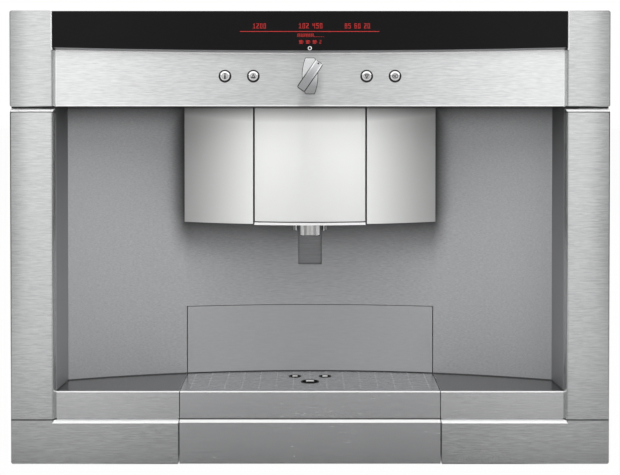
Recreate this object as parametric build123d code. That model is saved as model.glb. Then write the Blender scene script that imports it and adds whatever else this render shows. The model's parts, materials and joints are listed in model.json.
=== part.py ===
from build123d import *
from math import sqrt
import os

# Built-in coffee machine that slides out of its cabinet on telescopic rails. Units are millimetres.
#
# While a piece is drawn, x runs across the front with 0 on the middle line, y is 0 on the face of the
# outer frame and grows towards the wall, and z is 0 on the cabinet floor. save() then moves every piece
# forward by the same amount, so that the finished model stands with its origin under the middle of its box.

# ---------------------------------------------------------------- driving dimensions
# front
FRONT_WIDTH = 595.0
FRONT_HEIGHT = 451.0
FRONT_DEPTH = 20.0
BAND = 42.0  # flat width of the outer frame, the same on the pillars and on the bottom rail
BEVEL = 2.5  # width of the bevel inside that band
RECESS = 6.0  # how far the panels lie behind the face of the outer frame
SHEET = 2.0  # front panels and niche
WALL = 2.5  # moulded pieces
CORNER = 2.4
SEAM = 0.6  # visible gap between neighbouring front pieces
FIT_GAP = 0.3  # gap between pieces that are set into one another
CUT_OVER = 1.0  # how far a cut runs past the surface that it leaves, and a joined piece into its neighbour
CAP_HEIGHT = 95.5
CAP_GAP = 1.6  # slot between the end caps and the pillars
CAP_GAP_BEVEL = 3.6
CARRIER_THICKNESS = 4.0
CARRIER_INSET = 27.5  # how far the carrier ring lies inside the front's left and right edge
CARRIER_MARGIN = 4.0  # the same at the top and the bottom
PASS_CLEARANCE = 1.0  # round pieces that pass through the carrier ring

# display and controls
GLASS_THICKNESS = 4.0
GLASS_HEIGHT = 36.6  # at its ends
GLASS_SAG = 3.2  # how much lower its edge is in the middle
TRIM_HEIGHT = 2.0
TRIM_EDGE = 0.4
HOLDER_THICKNESS = 3.0
HOLDER_INSET = 4.0
HOLDER_RISE = 2.0
DISPLAY_WIDTH = 180.0
DISPLAY_INSET = 4.0
BUTTON_INNER_X = 56.3
BUTTON_OUTER_X = 84.5
CONTROL_RAISE = 1.05  # how far the controls stand above the middle of the panel
BUTTON_RADIUS = 5.2
BUTTON_HOLE_RADIUS = 6.3
BUTTON_PROUD = 2.0
BUTTON_ROUND = 1.2
BUTTON_TRAVEL = 1.2
COLLAR_RADIUS = 7.4
COLLAR_THICKNESS = 1.2
STEM_RADIUS = 2.9
SLIDE_CLEARANCE = 0.08
STOP_GAP = 0.3
GUIDE_THICKNESS = 2.5
SWITCH_SIZE = 6.0
SWITCH_THICKNESS = 3.6
BOARD_SETBACK = 3.0  # from the back of the front frame to the control board
BOARD_THICKNESS = 1.6
BOARD_HEIGHT = 34.0
BOARD_MARGIN = 16.0  # how far the board runs past the outer buttons
ENCODER_SIZE = 14.0
ENCODER_FLOOR = 2.0
KNOB_REACH = 22.0  # how far the knob stands in front of the outer frame
KNOB_LENGTH = 33.0
KNOB_WIDTH = 9.4
KNOB_ANGLE = 34.4  # clockwise from upright
KNOB_CORNER = 2.2
KNOB_ROUND = 1.0
KNOB_MARK_RADIUS = 0.9
KNOB_MARK_INSET = 2.0  # from the end of the grip
KNOB_MARK_DEPTH = 0.5
KNOB_BASE_MARGIN = 5.2  # from the base up to the trim under the glass
KNOB_BASE_END = 9.4
KNOB_BASE_MIDDLE = 16.0
KNOB_BASE_DEPTH = 13.0
KNOB_BASE_CORNER = 1.2
KNOB_BASE_ROUND = 0.8
SHAFT_RADIUS = 3.0
SHAFT_CLEARANCE = 0.05
SHAFT_FREE = 0.5  # free space round the shaft in the knob's base
SHAFT_HOLE_MARGIN = 2.0
SHAFT_END_GAP = 1.0

# cup niche
NICHE_DEPTH = 110.0
NICHE_BACK_RADIUS = 640.0
NICHE_TAPER = 3.0
STRIP_HEIGHT = 27.5  # recessed strip between the bottom rail and the niche floor
GROOVE_WIDTH = 25.4
GROOVE_RISE = 43.5  # from the grounds container up to the groove behind the spout
GROOVE_DEPTH = 3.0

# dispensing head
HEAD_FRONT = 30.0
HEAD_RADIUS = 275.0
HEAD_WIDTH = 260.4
HEAD_DROP = 119.3  # height of the side covers below the ceiling
HEAD_RISE = 8.5  # and above it
HEAD_FLANGE = 5.0
HEAD_EDGE = 1.0
HEAD_CLEARANCE = 0.8
COVER_WIDTH = 114.0
COVER_SEAM = 1.2
COVER_OVERLAP = 3.5  # what is left of the middle cover above the ceiling when it is down
COVER_ROOM = 8.0  # from the middle cover up to the top of the casing
COVER_DEPTH = 12.0
LIP_HEIGHT = 3.4
LIP_PROUD = 0.8
OUTLET_BODY_WIDTH = 82.0
OUTLET_BODY_HEIGHT = 48.0
SPOUT_SETBACK = 27.0
SPOUT_WIDTH = 20.4
SPOUT_DEPTH = 18.0
SPOUT_DROP = 12.6
SPOUT_CORNER = 4.08
SPOUT_SCOOP_RADIUS = 12.0
SPOUT_SCOOP_DEPTH = 1.2
SPOUT_BORE_RADIUS = 2.2
SPOUT_BORE_TOP = 3.0
NOZZLE_X = 15.6
NOZZLE_RADIUS = 3.0
NOZZLE_BORE_RADIUS = 1.35
NOZZLE_DROP = 7.6
NOZZLE_TOP = 2.0
NOZZLE_CHAMFER = 0.5
ROD_INSET = 14.4  # from the edge of the middle cover to the guide rod
ROD_SETBACK = 22.0  # from the back wall of the niche to the guide rods
ROD_RADIUS = 4.0
ROD_OVER = 3.0
SLEEVE_RADIUS = 7.0
SLEEVE_HEIGHT = 36.0
SLEEVE_ROOM = 1.0
WEB_GAP = 3.0
HEAD_PLATE_GAP = 2.0
LUG_HEIGHT = 8.0
LUG_GAP = 1.8

# drip tray
TRAY_WIDTH = 260.0
TRAY_FRONT_DEPTH = 14.0
TRAY_FRONT_WALL = 3.0
TRAY_FRONT_RIM = 8.0
TRAY_LIFT = 0.6
PAN_INSET = 4.0
PAN_SPACE = 24.0  # from the bin to the back of the pan
PAN_CORNER = 6.0
PAN_RIM_DROP = 3.0
PAN_LIP = 8.0
RUNNER_HEIGHT = 4.0
RUNNER_GAP = 1.4
RUNNER_END = 10.0
CONTAINER_RISE = 71.0  # height of the grounds container's panel above the niche floor
CONTAINER_WIDTH = 170.0
CONTAINER_DEPTH = 152.0
CONTAINER_CORNER = 5.0
BIN_DROP = 8.0  # how much lower the bin is than its front panel
PLATE_THICKNESS = 3.0
BIG_HOLE_RADIUS = 9.4
BIG_HOLE_AHEAD = 4.0  # in front of the spout
SMALL_HOLE_RADIUS = 6.6
SMALL_HOLE_X = 15.8
SMALL_HOLE_BEHIND = 24.0
RING_WALL = 1.0
RING_PROUD = 0.4
RING_DROP = 3.0

# casing
CASE_SHEET = 1.0
CASE_ROOM = 6.0  # between the niche and the side sheets
CASE_BOTTOM = 12.0
CASE_TOP_DROP = 7.0  # how much lower the casing is than the front
CASE_DEPTH = 484.0
TRAY_SHELF_HEIGHT = 3.7
TRAY_SHELF_OVERLAP = 2.0
TRAY_GUIDE_SETBACK = 2.0
TRAY_STOP_WIDTH = 80.0
TRAY_STOP_GAP = 1.0
TRAY_STOP_HEIGHT = 16.0
VENT_HEIGHT = 4.0
VENT_PITCH = 12.0
VENT_ROWS = 8
VENT_LENGTH = 120.0
VENT_SIDE_RISE = 80.0
VENT_REAR_DROP = 144.0

# cabinet mount and rails
MOUNT_SHEET = 2.0
MOUNT_SETBACK = 6.0
MOUNT_OVERHANG = 4.0
MOUNT_HOLE_RADIUS = 2.75
MOUNT_HOLE_SIDE = 38.0
MOUNT_HOLE_FRONT = 30.0
MOUNT_HOLE_BACK = 32.0
RAIL_SPACE = 16.0  # between the casing and the outside of the mount
RAIL_END = 32.0
RAIL_WALL = 1.6
RAIL_HEIGHT = 45.0
RAIL_FLANGE_RISE = 7.0
RAIL_PLAY = 1.0
BALL_RADIUS = 2.0
BALL_CLEARANCE = 0.2
BALLS_PER_ROW = 6
BALL_PITCH = 36.0

# water path
TANK_WIDTH = 88.0
TANK_SIDE_GAP = 9.0
TANK_FRONT_GAP = 18.0
TANK_BACK_GAP = 18.0
TANK_RISE = 223.0  # above the floor of the casing
TANK_PROUD = 2.0
TANK_CORNER = 8.0
TANK_CLEARANCE = 1.0
GRIP_WIDTH = 28.0
GRIP_THICKNESS = 6.0
VALVE_RADIUS = 9.0
VALVE_LENGTH = 8.0
VALVE_WALL = 3.0
VALVE_CLEARANCE = 0.5
VALVE_INSET = 40.0
DOCK_THICKNESS = 16.0
DOCK_MARGIN = 5.0
DOCK_BRACKET_HEIGHT = 60.0
DOCK_BRACKET_INSET = 20.0
PUMP_SIDE_GAP = 61.0
PUMP_SETBACK = 50.0  # behind the front of the tank
PUMP_RISE = 57.0
PUMP_RADIUS = 20.0
PUMP_LENGTH = 80.0
PUMP_END_LENGTH = 20.0
PUMP_INTAKE_RADIUS = 11.0
PUMP_OUTLET_RADIUS = 8.0
PUMP_FOOT_WIDTH = 48.0
PUMP_FOOT_INSET = 6.0
PUMP_FOOT_DROP = 12.0
HEATER_GAP = 6.9  # beside the tray's guide
HEATER_SPACE = 40.0  # behind the niche
HEATER_WIDTH = 46.0
HEATER_DEPTH = 86.0
HEATER_HEIGHT = 130.0
HEATER_RISE = 97.0
HEATER_CORNER = 6.0
HEATER_LEG_INSET = 12.0
TUBE_RADIUS = 4.0
TUBE_LENGTH = 16.0
TUBE_INSET = 20.0

# coffee path
HOPPER_X = 40.0
HOPPER_WIDTH = 160.0
HOPPER_DEPTH = 130.0
HOPPER_CORNER = 4.0
THROAT_RADIUS = 24.0
THROAT_MARGIN = 6.0
THROAT_FLANGE = 12.0
THROAT_HEIGHT = 4.0
GRINDER_RADIUS = 44.0
GRINDER_HEIGHT = 66.0
GRINDER_GAP = 5.0
CHAMBER_FLOOR = 12.0
CHAMBER_RADIUS = 26.0
BURR_HEIGHT = 18.0
BURR_RADIUS = 22.0
BURR_TOP_RADIUS = 15.0
BURR_SEAT_RADIUS = 30.0
BURR_SEAT_HEIGHT = 34.0
BURR_CLEARANCE = 0.5
BURR_SHANK = 6.0
BURR_FLUTES = 8
FLUTE_WIDTH = 3.0
FLUTE_DEPTH = 5.0
FLUTE_ANGLE = 20.0
MOTOR_RADIUS = 30.0
MOTOR_LENGTH = 84.0
SPINDLE_RADIUS = 4.0
SPINDLE_DEPTH = 30.0
LEG_RADIUS = 5.0
LEG_INSET = 2.0
CHUTE_WIDTH = 24.0
CHUTE_HEIGHT = 22.0
CHUTE_RISE = 12.0
CHUTE_LAP = 4.0  # how far the grinder reaches below the top of the brewing unit
LID_MARGIN = 6.0
LID_THICKNESS = 3.0
LID_CORNER = 4.0
BREW_SPACE = 32.0  # behind the niche
BREW_GAP = 7.0  # above the grounds container
BREW_WIDTH = 110.0
BREW_DEPTH = 96.0
BREW_CORNER = 5.0
BREW_BORE = 24.0
BREW_GUIDE_HEIGHT = 50.0
BREW_HEADROOM = 19.0  # above the raised piston
PISTON_GAP = 0.4
PISTON_HEIGHT = 26.0
PISTON_LIFT = 25.0  # height of the piston above the bottom of its bore at rest
PISTON_TRAVEL = 30.0
PISTON_ROD_RADIUS = 8.0
PISTON_ROD_INSET = 1.0
SEAL_DEPTH = 2.0
SEAL_HEIGHT = 4.0
SEAL_DROP = 6.5
BEAM_WIDTH = 14.0
BEAM_HEIGHT = 6.0
BEAM_INSET = 4.0
BEAM_REACH = 20.0
CHASSIS_GAP = 6.0
CHASSIS_WALL = 4.0
DRIVE_RADIUS = 19.0
DRIVE_DROP = 38.0

# hinges, door and lid
PIN_RADIUS = 1.5
PIN_CAP = 1.0
KNUCKLE_RADIUS = 2.7
KNUCKLE_LENGTH = 16.0
HINGE_LEAF = 8.1
DOOR_SETBACK = 8.0  # behind the niche
DOOR_LENGTH = 182.0
DOOR_RISE = 77.0
DOOR_HEIGHT = 250.0
DOOR_GAP = 0.8
DOOR_HINGE_INSET = 30.0
LID_PIN_RADIUS = 1.0
LID_KNUCKLE_RADIUS = 2.0
LID_AXIS_RAISE = 0.4
LID_HINGE_X = 55.0
LID_LUG_WIDTH = 5.0

# electrics
POWER_BOARD_GAP = 30.0  # behind the service door
POWER_BOARD_END = 28.0
POWER_BOARD_RISE = 87.0
POWER_BOARD_HEIGHT = 190.0
POST_LENGTH = 11.0
POST_RADIUS = 3.0
POST_INSET = 10.0
RELAY_SIZE = 40.0
RELAY_DEPTH = 36.0
RELAY_INSET = 20.0
SINK_LENGTH = 40.0
SINK_HEIGHT = 60.0
SINK_DEPTH = 26.0
SINK_INSET = 30.0
CAPACITOR_RADIUS = 12.0
CAPACITOR_DEPTH = 32.0
CAPACITOR_INSET = 50.0
INLET_SIDE_GAP = 61.0
INLET_RISE = 47.0
INLET_WIDTH = 70.0
INLET_HEIGHT = 34.0
INLET_DEPTH = 28.0
INLET_FLANGE = 4.0
INLET_PLATE = 2.0
SOCKET_OFFSET = 14.64
SOCKET_WIDTH = 24.4
SOCKET_HEIGHT = 16.8
SOCKET_DEPTH = 20.0
CONTACT_WIDTH = 2.0
CONTACT_HEIGHT = 4.0
CONTACT_SPREAD = 7.0
CONTACT_STAGGER = 2.0
CONTACT_SETBACK = 5.0
SWITCH_OFFSET = 20.0
ROCKER_WIDTH = 19.0
ROCKER_HEIGHT = 13.0
ROCKER_GAP = 0.6
ROCKER_TILT = 8.0
ROCKER_BACK = 4.0
ROCKER_PROUD = 4.4
ROCKER_DIP = 2.8
ROCKER_TAPER = 1.0
ROCKER_BACK_TAPER = 1.5
ROCKER_ROOM = 2.0
PIVOT_RADIUS = 1.5
PIVOT_DEPTH = 5.0
PIVOT_LENGTH = 1.4
PIVOT_ROOT = 0.5
PIVOT_POCKET = 1.6

# ---------------------------------------------------------------- sizes that follow from those
HALF = FRONT_WIDTH / 2
FLAT_IN = HALF - BAND  # inner edge of the flat face of the frame
PANEL_HALF = FLAT_IN - BEVEL  # half width of the recessed panels
PANEL_BACK = RECESS + SHEET
RAIL_TOP = BAND + BEVEL  # top of the bottom rail, where the recessed strip starts
FLOOR_Z = RAIL_TOP + STRIP_HEIGHT
CAP_BOTTOM = FRONT_HEIGHT - CAP_HEIGHT
PILLAR_TOP = CAP_BOTTOM - CAP_GAP
CEILING_TOP = CAP_BOTTOM + SHEET
CASE_FRONT = FRONT_DEPTH + CARRIER_THICKNESS
CASE_BACK = CASE_FRONT + CASE_DEPTH
CASE_TOP = FRONT_HEIGHT - CASE_TOP_DROP
CASE_FLOOR = CASE_BOTTOM + CASE_SHEET
CASE_IN = PANEL_HALF + SHEET + CASE_ROOM
CASE_HALF = CASE_IN + CASE_SHEET
NICHE_PASS = PANEL_HALF + SHEET + PASS_CLEARANCE  # half width of the passage through the carrier for the liner
GLASS_Y = FIT_GAP
GLASS_HALF = FLAT_IN - FIT_GAP
GLASS_EDGE_Z = FRONT_HEIGHT - GLASS_HEIGHT
BUTTON_XS = {"button_info": -BUTTON_OUTER_X, "button_up": -BUTTON_INNER_X,
             "button_down": BUTTON_INNER_X, "button_cups": BUTTON_OUTER_X}
CONTROL_Z = (CAP_BOTTOM + GLASS_EDGE_Z) / 2 + CONTROL_RAISE
COLLAR_Y = PANEL_BACK + STOP_GAP
GUIDE_Y = COLLAR_Y + COLLAR_THICKNESS + BUTTON_TRAVEL + STOP_GAP
BOARD_Y = FRONT_DEPTH + BOARD_SETBACK
BOARD_HALF = BUTTON_OUTER_X + BOARD_MARGIN
SWITCH_Y = BOARD_Y - SWITCH_THICKNESS
KNOB_BASE_Y = RECESS - KNOB_BASE_DEPTH
KNOB_BASE_HALF = GLASS_EDGE_Z - GLASS_SAG - TRIM_HEIGHT - KNOB_BASE_MARGIN - CONTROL_Z
TRAY_HALF = TRAY_WIDTH / 2
TRAY_PASS = TRAY_HALF + SEAM
TRAY_RUNNER_HALF = TRAY_PASS - RUNNER_GAP
PAN_FLOOR_Z = CASE_FLOOR + TRAY_SHELF_HEIGHT + FIT_GAP
PAN_TOP_Z = FLOOR_Z - PLATE_THICKNESS - PAN_RIM_DROP
CONTAINER_TOP = FLOOR_Z + CONTAINER_RISE
CONTAINER_BACK = NICHE_DEPTH + CONTAINER_DEPTH
PAN_BACK = CONTAINER_BACK + PAN_SPACE
GROOVE_BOTTOM = CONTAINER_TOP + GROOVE_RISE
COVER_HALF = (COVER_WIDTH - COVER_SEAM) / 2
SIDE_COVER_IN = (COVER_WIDTH + COVER_SEAM) / 2
COVER_TOP = CASE_TOP - COVER_ROOM
HEAD_HALF = HEAD_WIDTH / 2
HEAD_BOTTOM = CAP_BOTTOM - HEAD_DROP
OUTLET_TRAVEL = COVER_TOP - COVER_OVERLAP - CEILING_TOP
OUTLET_BOTTOM = HEAD_BOTTOM - LIP_PROUD
LIP_TOP = OUTLET_BOTTOM + LIP_HEIGHT
SPOUT_Y = HEAD_FRONT + SPOUT_SETBACK
ROD_X = COVER_HALF - ROD_INSET
ROD_Y = NICHE_DEPTH - ROD_SETBACK
ROD_TOP = COVER_TOP + ROD_OVER
LUG_BOTTOM = LIP_TOP + LUG_GAP
SLEEVE_BOTTOM = LUG_BOTTOM + LUG_HEIGHT + OUTLET_TRAVEL + SLEEVE_ROOM
HEAD_PLATE_Y = ROD_Y + SLEEVE_RADIUS + HEAD_PLATE_GAP
WEB_BACK = ROD_Y - SLEEVE_RADIUS - WEB_GAP
MOUNT_HALF = CASE_HALF + RAIL_SPACE
MOUNT_FRONT = CASE_FRONT + MOUNT_SETBACK
MOUNT_BACK = CASE_BACK + MOUNT_OVERHANG
RAIL_FRONT = MOUNT_FRONT
RAIL_BACK = MOUNT_BACK - RAIL_END
BALL_SPACE = 2 * (BALL_RADIUS + BALL_CLEARANCE)
OUTER_X = MOUNT_HALF - MOUNT_SHEET
OUTER_Z = (CASE_BOTTOM, CASE_BOTTOM + RAIL_HEIGHT)
MIDDLE_X = OUTER_X - RAIL_WALL - RAIL_PLAY
MIDDLE_Z = (OUTER_Z[0] + RAIL_WALL + BALL_SPACE, OUTER_Z[1] - RAIL_WALL - BALL_SPACE)
INNER_X = MIDDLE_X - RAIL_WALL - RAIL_PLAY
INNER_Z = (MIDDLE_Z[0] + RAIL_WALL + BALL_SPACE, MIDDLE_Z[1] - RAIL_WALL - BALL_SPACE)
CHASSIS_Y = PAN_BACK + CHASSIS_GAP
BREW_HALF = BREW_WIDTH / 2
BREW_Y = NICHE_DEPTH + BREW_SPACE + BREW_DEPTH / 2
BREW_BACK = BREW_Y + BREW_DEPTH / 2
BREW_BOTTOM = CONTAINER_TOP + BREW_GAP
BORE_BOTTOM = BREW_BOTTOM + BREW_GUIDE_HEIGHT
PISTON_Z = BORE_BOTTOM + PISTON_LIFT
BREW_TOP = PISTON_Z + PISTON_HEIGHT + PISTON_TRAVEL + BREW_HEADROOM
GRINDER_BOTTOM = BREW_TOP - CHUTE_LAP
GRINDER_TOP = GRINDER_BOTTOM + GRINDER_HEIGHT
BURR_Z = GRINDER_BOTTOM + BURR_SEAT_HEIGHT
HOPPER_Y = CHASSIS_Y + CHASSIS_WALL + GRINDER_GAP + GRINDER_RADIUS
HOPPER_BOTTOM = GRINDER_TOP + THROAT_HEIGHT
LID_Z = CASE_TOP + FIT_GAP
LID_AXIS_Y = HOPPER_Y + HOPPER_DEPTH / 2 + LID_MARGIN + LID_KNUCKLE_RADIUS
LID_AXIS_Z = CASE_TOP + LID_KNUCKLE_RADIUS + LID_AXIS_RAISE
LID_LUG_NEAR = LID_HINGE_X + KNUCKLE_LENGTH / 2 + FIT_GAP
HEATER_X = -(TRAY_PASS + WALL + HEATER_GAP + HEATER_WIDTH / 2)
HEATER_Y = NICHE_DEPTH + HEATER_SPACE + HEATER_DEPTH / 2
HEATER_BACK = HEATER_Y + HEATER_DEPTH / 2
HEATER_BOTTOM = CASE_FLOOR + HEATER_RISE
HEATER_TOP = HEATER_BOTTOM + HEATER_HEIGHT
TANK_LEFT = TANK_SIDE_GAP - CASE_IN
TANK_RIGHT = TANK_LEFT + TANK_WIDTH
TANK_FRONT = HEATER_BACK + TUBE_LENGTH + TANK_FRONT_GAP
TANK_BACK = CASE_BACK - TANK_BACK_GAP
TANK_BOTTOM = CASE_FLOOR + TANK_RISE
TANK_TOP = CASE_TOP + TANK_PROUD
VALVE_X = (TANK_LEFT + TANK_RIGHT) / 2
VALVE_Y = TANK_BACK - VALVE_INSET
DOCK_TOP = TANK_BOTTOM - FIT_GAP
PUMP_X = PUMP_SIDE_GAP - CASE_IN
PUMP_Y = TANK_FRONT + PUMP_SETBACK
PUMP_Z = CASE_FLOOR + PUMP_RISE
DOOR_FRONT = NICHE_DEPTH + DOOR_SETBACK
DOOR_BACK = DOOR_FRONT + DOOR_LENGTH
DOOR_BOTTOM = CASE_FLOOR + DOOR_RISE
DOOR_TOP = DOOR_BOTTOM + DOOR_HEIGHT
DOOR_AXIS_X = CASE_HALF + KNUCKLE_RADIUS + 2 * FIT_GAP
DOOR_AXIS_Y = DOOR_FRONT
DOOR_HINGE_ZS = (DOOR_BOTTOM + DOOR_HINGE_INSET, DOOR_TOP - DOOR_HINGE_INSET)
POWER_BOARD_FRONT = DOOR_BACK + POWER_BOARD_GAP
POWER_BOARD_BACK = CASE_BACK - POWER_BOARD_END
POWER_BOARD_BOTTOM = CASE_FLOOR + POWER_BOARD_RISE
POWER_BOARD_TOP = POWER_BOARD_BOTTOM + POWER_BOARD_HEIGHT
INLET_X = CASE_IN - INLET_SIDE_GAP
INLET_Z = CASE_FLOOR + INLET_RISE
INLET_BACK = CASE_BACK + INLET_PLATE
SOCKET_X = INLET_X - SOCKET_OFFSET
ROCKER_X = INLET_X + SWITCH_OFFSET
ROCKER_Y = INLET_BACK - PIVOT_DEPTH
ORIGIN_Y = (MOUNT_BACK - KNOB_REACH) / 2
BIG = 1000.0


# ---------------------------------------------------------------- drawing helpers
def block(x0, x1, y0, y1, z0, z1):
    """A box between two corners."""
    return Pos((x0 + x1) / 2, (y0 + y1) / 2, (z0 + z1) / 2) * Box(x1 - x0, y1 - y0, z1 - z0)


def rod_x(y, z, x0, x1, radius):
    return Pos((x0 + x1) / 2, y, z) * Rot(0, 90, 0) * Cylinder(radius, x1 - x0)


def rod_y(x, z, y0, y1, radius):
    return Pos(x, (y0 + y1) / 2, z) * Rot(90, 0, 0) * Cylinder(radius, y1 - y0)


def rod_z(x, y, z0, z1, radius):
    return Pos(x, y, (z0 + z1) / 2) * Cylinder(radius, z1 - z0)


def prism_x(points, x0, x1):
    """A polygon of (y, z) points, drawn out along x."""
    return extrude(Plane.YZ.offset(x0) * Polygon(*points, align=None), x1 - x0, dir=(1, 0, 0))


def prism_z(points, z0, z1):
    """A polygon of (x, y) points, drawn out along z."""
    return extrude(Plane.XY.offset(z0) * Polygon(*points, align=None), z1 - z0, dir=(0, 0, 1))


def drawn_y(outline, y0, y1):
    """A closed outline of (x, z) edges, drawn out along y."""
    return extrude(Plane.XZ.offset(-y0) * make_face(outline), y1 - y0, dir=(0, 1, 0))


def drawn_z(outline, z0, z1):
    """A closed outline of (x, y) edges, drawn out along z."""
    return extrude(Pos(0, 0, z0) * make_face(outline), z1 - z0, dir=(0, 0, 1))


def sides(x):
    """The same place on the left and on the right."""
    return (-x, x)


def span(side, near, far):
    """The two ends of a stretch on one side of the middle line, in rising order."""
    return sorted((side * near, side * far))


def other_side(shape):
    """The same piece on the other side of the middle line."""
    return mirror(shape, about=Plane.YZ)


def upright(shape):
    """Edges of a shape that run along z."""
    return shape.edges().filter_by(Axis.Z)


def endways(shape):
    """Edges of a shape that run along y."""
    return shape.edges().filter_by(Axis.Y)


def rim_at(shape, y):
    """Edges of a shape that lie wholly at depth y."""
    return [edge for edge in shape.edges() if abs(edge.bounding_box().max.Y - y) < 0.01]


def wall_edge(x0, x1, wall):
    """One edge of a plan, from x0 to x1. A wall is a depth, or a function that gives the depth at x."""
    if not callable(wall):
        return Line((x0, wall), (x1, wall))
    middle = (x0 + x1) / 2
    return ThreePointArc((x0, wall(x0)), (middle, wall(middle)), (x1, wall(x1)))


def between(x0, x1, z0, z1, front, back):
    """A solid between a front wall and a back wall, from x0 to x1."""
    near, far = wall_edge(x0, x1, front), wall_edge(x1, x0, back)
    outline = near + Line(near @ 1, far @ 0) + far + Line(far @ 1, near @ 0)
    return drawn_z(outline, z0, z1)


def back_wall(offset=0.0):
    """The curved back wall of the niche, moved rearwards by an offset, as a function of x."""
    def depth(x):
        return NICHE_DEPTH - NICHE_BACK_RADIUS + sqrt((NICHE_BACK_RADIUS + offset) ** 2 - x * x)
    return depth


def head_front(offset=0.0):
    """The bowed front of the dispensing head, moved rearwards by an offset, as a function of x."""
    def depth(x):
        return HEAD_FRONT + HEAD_RADIUS - sqrt((HEAD_RADIUS - offset) ** 2 - x * x)
    return depth


def glass_edge(x0, x1, drop):
    """The arc of the glass's lower edge in the xz plane, lowered by a drop."""
    radius = (FLAT_IN * FLAT_IN + GLASS_SAG * GLASS_SAG) / (2 * GLASS_SAG)
    middle_z = GLASS_EDGE_Z - GLASS_SAG - drop

    def point(x):
        return (x, middle_z + radius - sqrt(radius * radius - x * x))
    return ThreePointArc(point(x0), point((x0 + x1) / 2), point(x1))


def niche_plan(z0, z1, grow):
    """The space of the niche between two heights, grown by the same amount at its sides and its back."""
    front, corner = PANEL_HALF + grow, PANEL_HALF - NICHE_TAPER + grow
    back = wall_edge(corner, -corner, back_wall(grow))
    near = Line((-front, PANEL_BACK), (front, PANEL_BACK))
    return drawn_z(near + Line(near @ 1, back @ 0) + back + Line(back @ 1, near @ 0), z0, z1)


def save(shape, name):
    """Writes one piece, moved so that the whole model is centred on its origin."""
    moved = Pos(0, -ORIGIN_Y, 0) * shape
    solids = moved.solids()
    piece = Compound(children=list(solids)) if len(solids) > 1 else solids[0]
    piece.label = name
    export_step(piece, f"parts/{name}.step")


# ---------------------------------------------------------------- front frame
def end_cap():
    """Left block beside the display: a flat face, and a bevel down to the control panel."""
    cap = block(-HALF, -FLAT_IN, 0, FRONT_DEPTH, CAP_BOTTOM, FRONT_HEIGHT)
    cap = fillet([edge for edge in endways(cap) if edge.center().X < -HALF + CORNER], CORNER)
    bevel = [(-FLAT_IN, 0), (-PANEL_HALF, RECESS), (-PANEL_HALF, PANEL_BACK), (-FLAT_IN, PANEL_BACK)]
    return cap + prism_z(bevel, CAP_BOTTOM, GLASS_EDGE_Z - TRIM_HEIGHT)


def lower_frame():
    """Left half of the lower frame: a pillar and a length of bottom rail, mitred at the inner corner."""
    pillar_plan = [(-HALF, 0), (-FLAT_IN, 0), (-PANEL_HALF, RECESS), (-PANEL_HALF, PANEL_BACK),
                   (-NICHE_PASS, PANEL_BACK), (-NICHE_PASS, FRONT_DEPTH), (-HALF, FRONT_DEPTH)]
    rail_profile = [(0, 0), (0, BAND), (RECESS, RAIL_TOP), (FRONT_DEPTH, RAIL_TOP), (FRONT_DEPTH, 0)]
    frame = prism_z(pillar_plan, 0, PILLAR_TOP) + prism_x(rail_profile, -HALF, -TRAY_PASS)
    slope = [(0, PILLAR_TOP - CAP_GAP_BEVEL), (0, PILLAR_TOP), (CAP_GAP_BEVEL, PILLAR_TOP)]
    frame -= prism_x(slope, -HALF, -PANEL_HALF)
    outer = [edge for edge in endways(frame) if edge.center().X < -HALF + CORNER and edge.center().Z < CORNER]
    return fillet(outer, CORNER)


def side_ledge():
    """Left floor of the niche, folded down in front as the recessed strip and down again beside the tray."""
    inner = -TRAY_PASS
    back = back_wall(-FIT_GAP)(inner - SHEET)
    top = niche_plan(FLOOR_Z - SHEET, FLOOR_Z, -FIT_GAP) & block(-BIG, inner, 0, BIG, 0, BIG)
    strip = block(-PANEL_HALF, inner, RECESS, PANEL_BACK, RAIL_TOP, FLOOR_Z)
    cheek = block(inner - SHEET, inner, RECESS, back, RAIL_TOP, FLOOR_Z)
    return top + strip + cheek


def front_carrier():
    """Plastic ring behind the front, which holds the caps, the frame and the casing together."""
    half = HALF - CARRIER_INSET
    ring = block(-half, half, FRONT_DEPTH, CASE_FRONT, CARRIER_MARGIN, FRONT_HEIGHT - CARRIER_MARGIN)
    ring -= block(-NICHE_PASS, NICHE_PASS, 0, BIG, RAIL_TOP, CEILING_TOP)
    ring -= block(-TRAY_PASS, TRAY_PASS, 0, BIG, 0, RAIL_TOP)
    board_half = BOARD_HALF + SHEET + PASS_CLEARANCE
    board_top = CONTROL_Z + BOARD_HEIGHT / 2 + PASS_CLEARANCE
    return ring - block(-board_half, board_half, 0, BIG, CEILING_TOP, board_top)


# ---------------------------------------------------------------- display and controls
def display_glass():
    """Black glass strip with a lower edge that dips in the middle."""
    low = glass_edge(-GLASS_HALF, GLASS_HALF, 0)
    high = Line((GLASS_HALF, FRONT_HEIGHT - SEAM), (-GLASS_HALF, FRONT_HEIGHT - SEAM))
    outline = low + Line(low @ 1, high @ 0) + high + Line(high @ 1, low @ 0)
    return drawn_y(outline, GLASS_Y, GLASS_Y + GLASS_THICKNESS)


def trim_band(height):
    """The outline of the trim strip for one height, under the glass."""
    low, high = glass_edge(-PANEL_HALF, PANEL_HALF, height), glass_edge(PANEL_HALF, -PANEL_HALF, 0)
    return low + Line(low @ 1, high @ 0) + high + Line(high @ 1, low @ 0)


def display_trim():
    """Strip under the glass with a bevel that slopes back to the control panel."""
    thin = Plane.XZ.offset(-GLASS_Y) * make_face(trim_band(TRIM_EDGE))
    thick = Plane.XZ.offset(-RECESS) * make_face(trim_band(TRIM_HEIGHT))
    return loft([thin, thick]) + drawn_y(trim_band(TRIM_HEIGHT), RECESS, PANEL_BACK)


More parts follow.
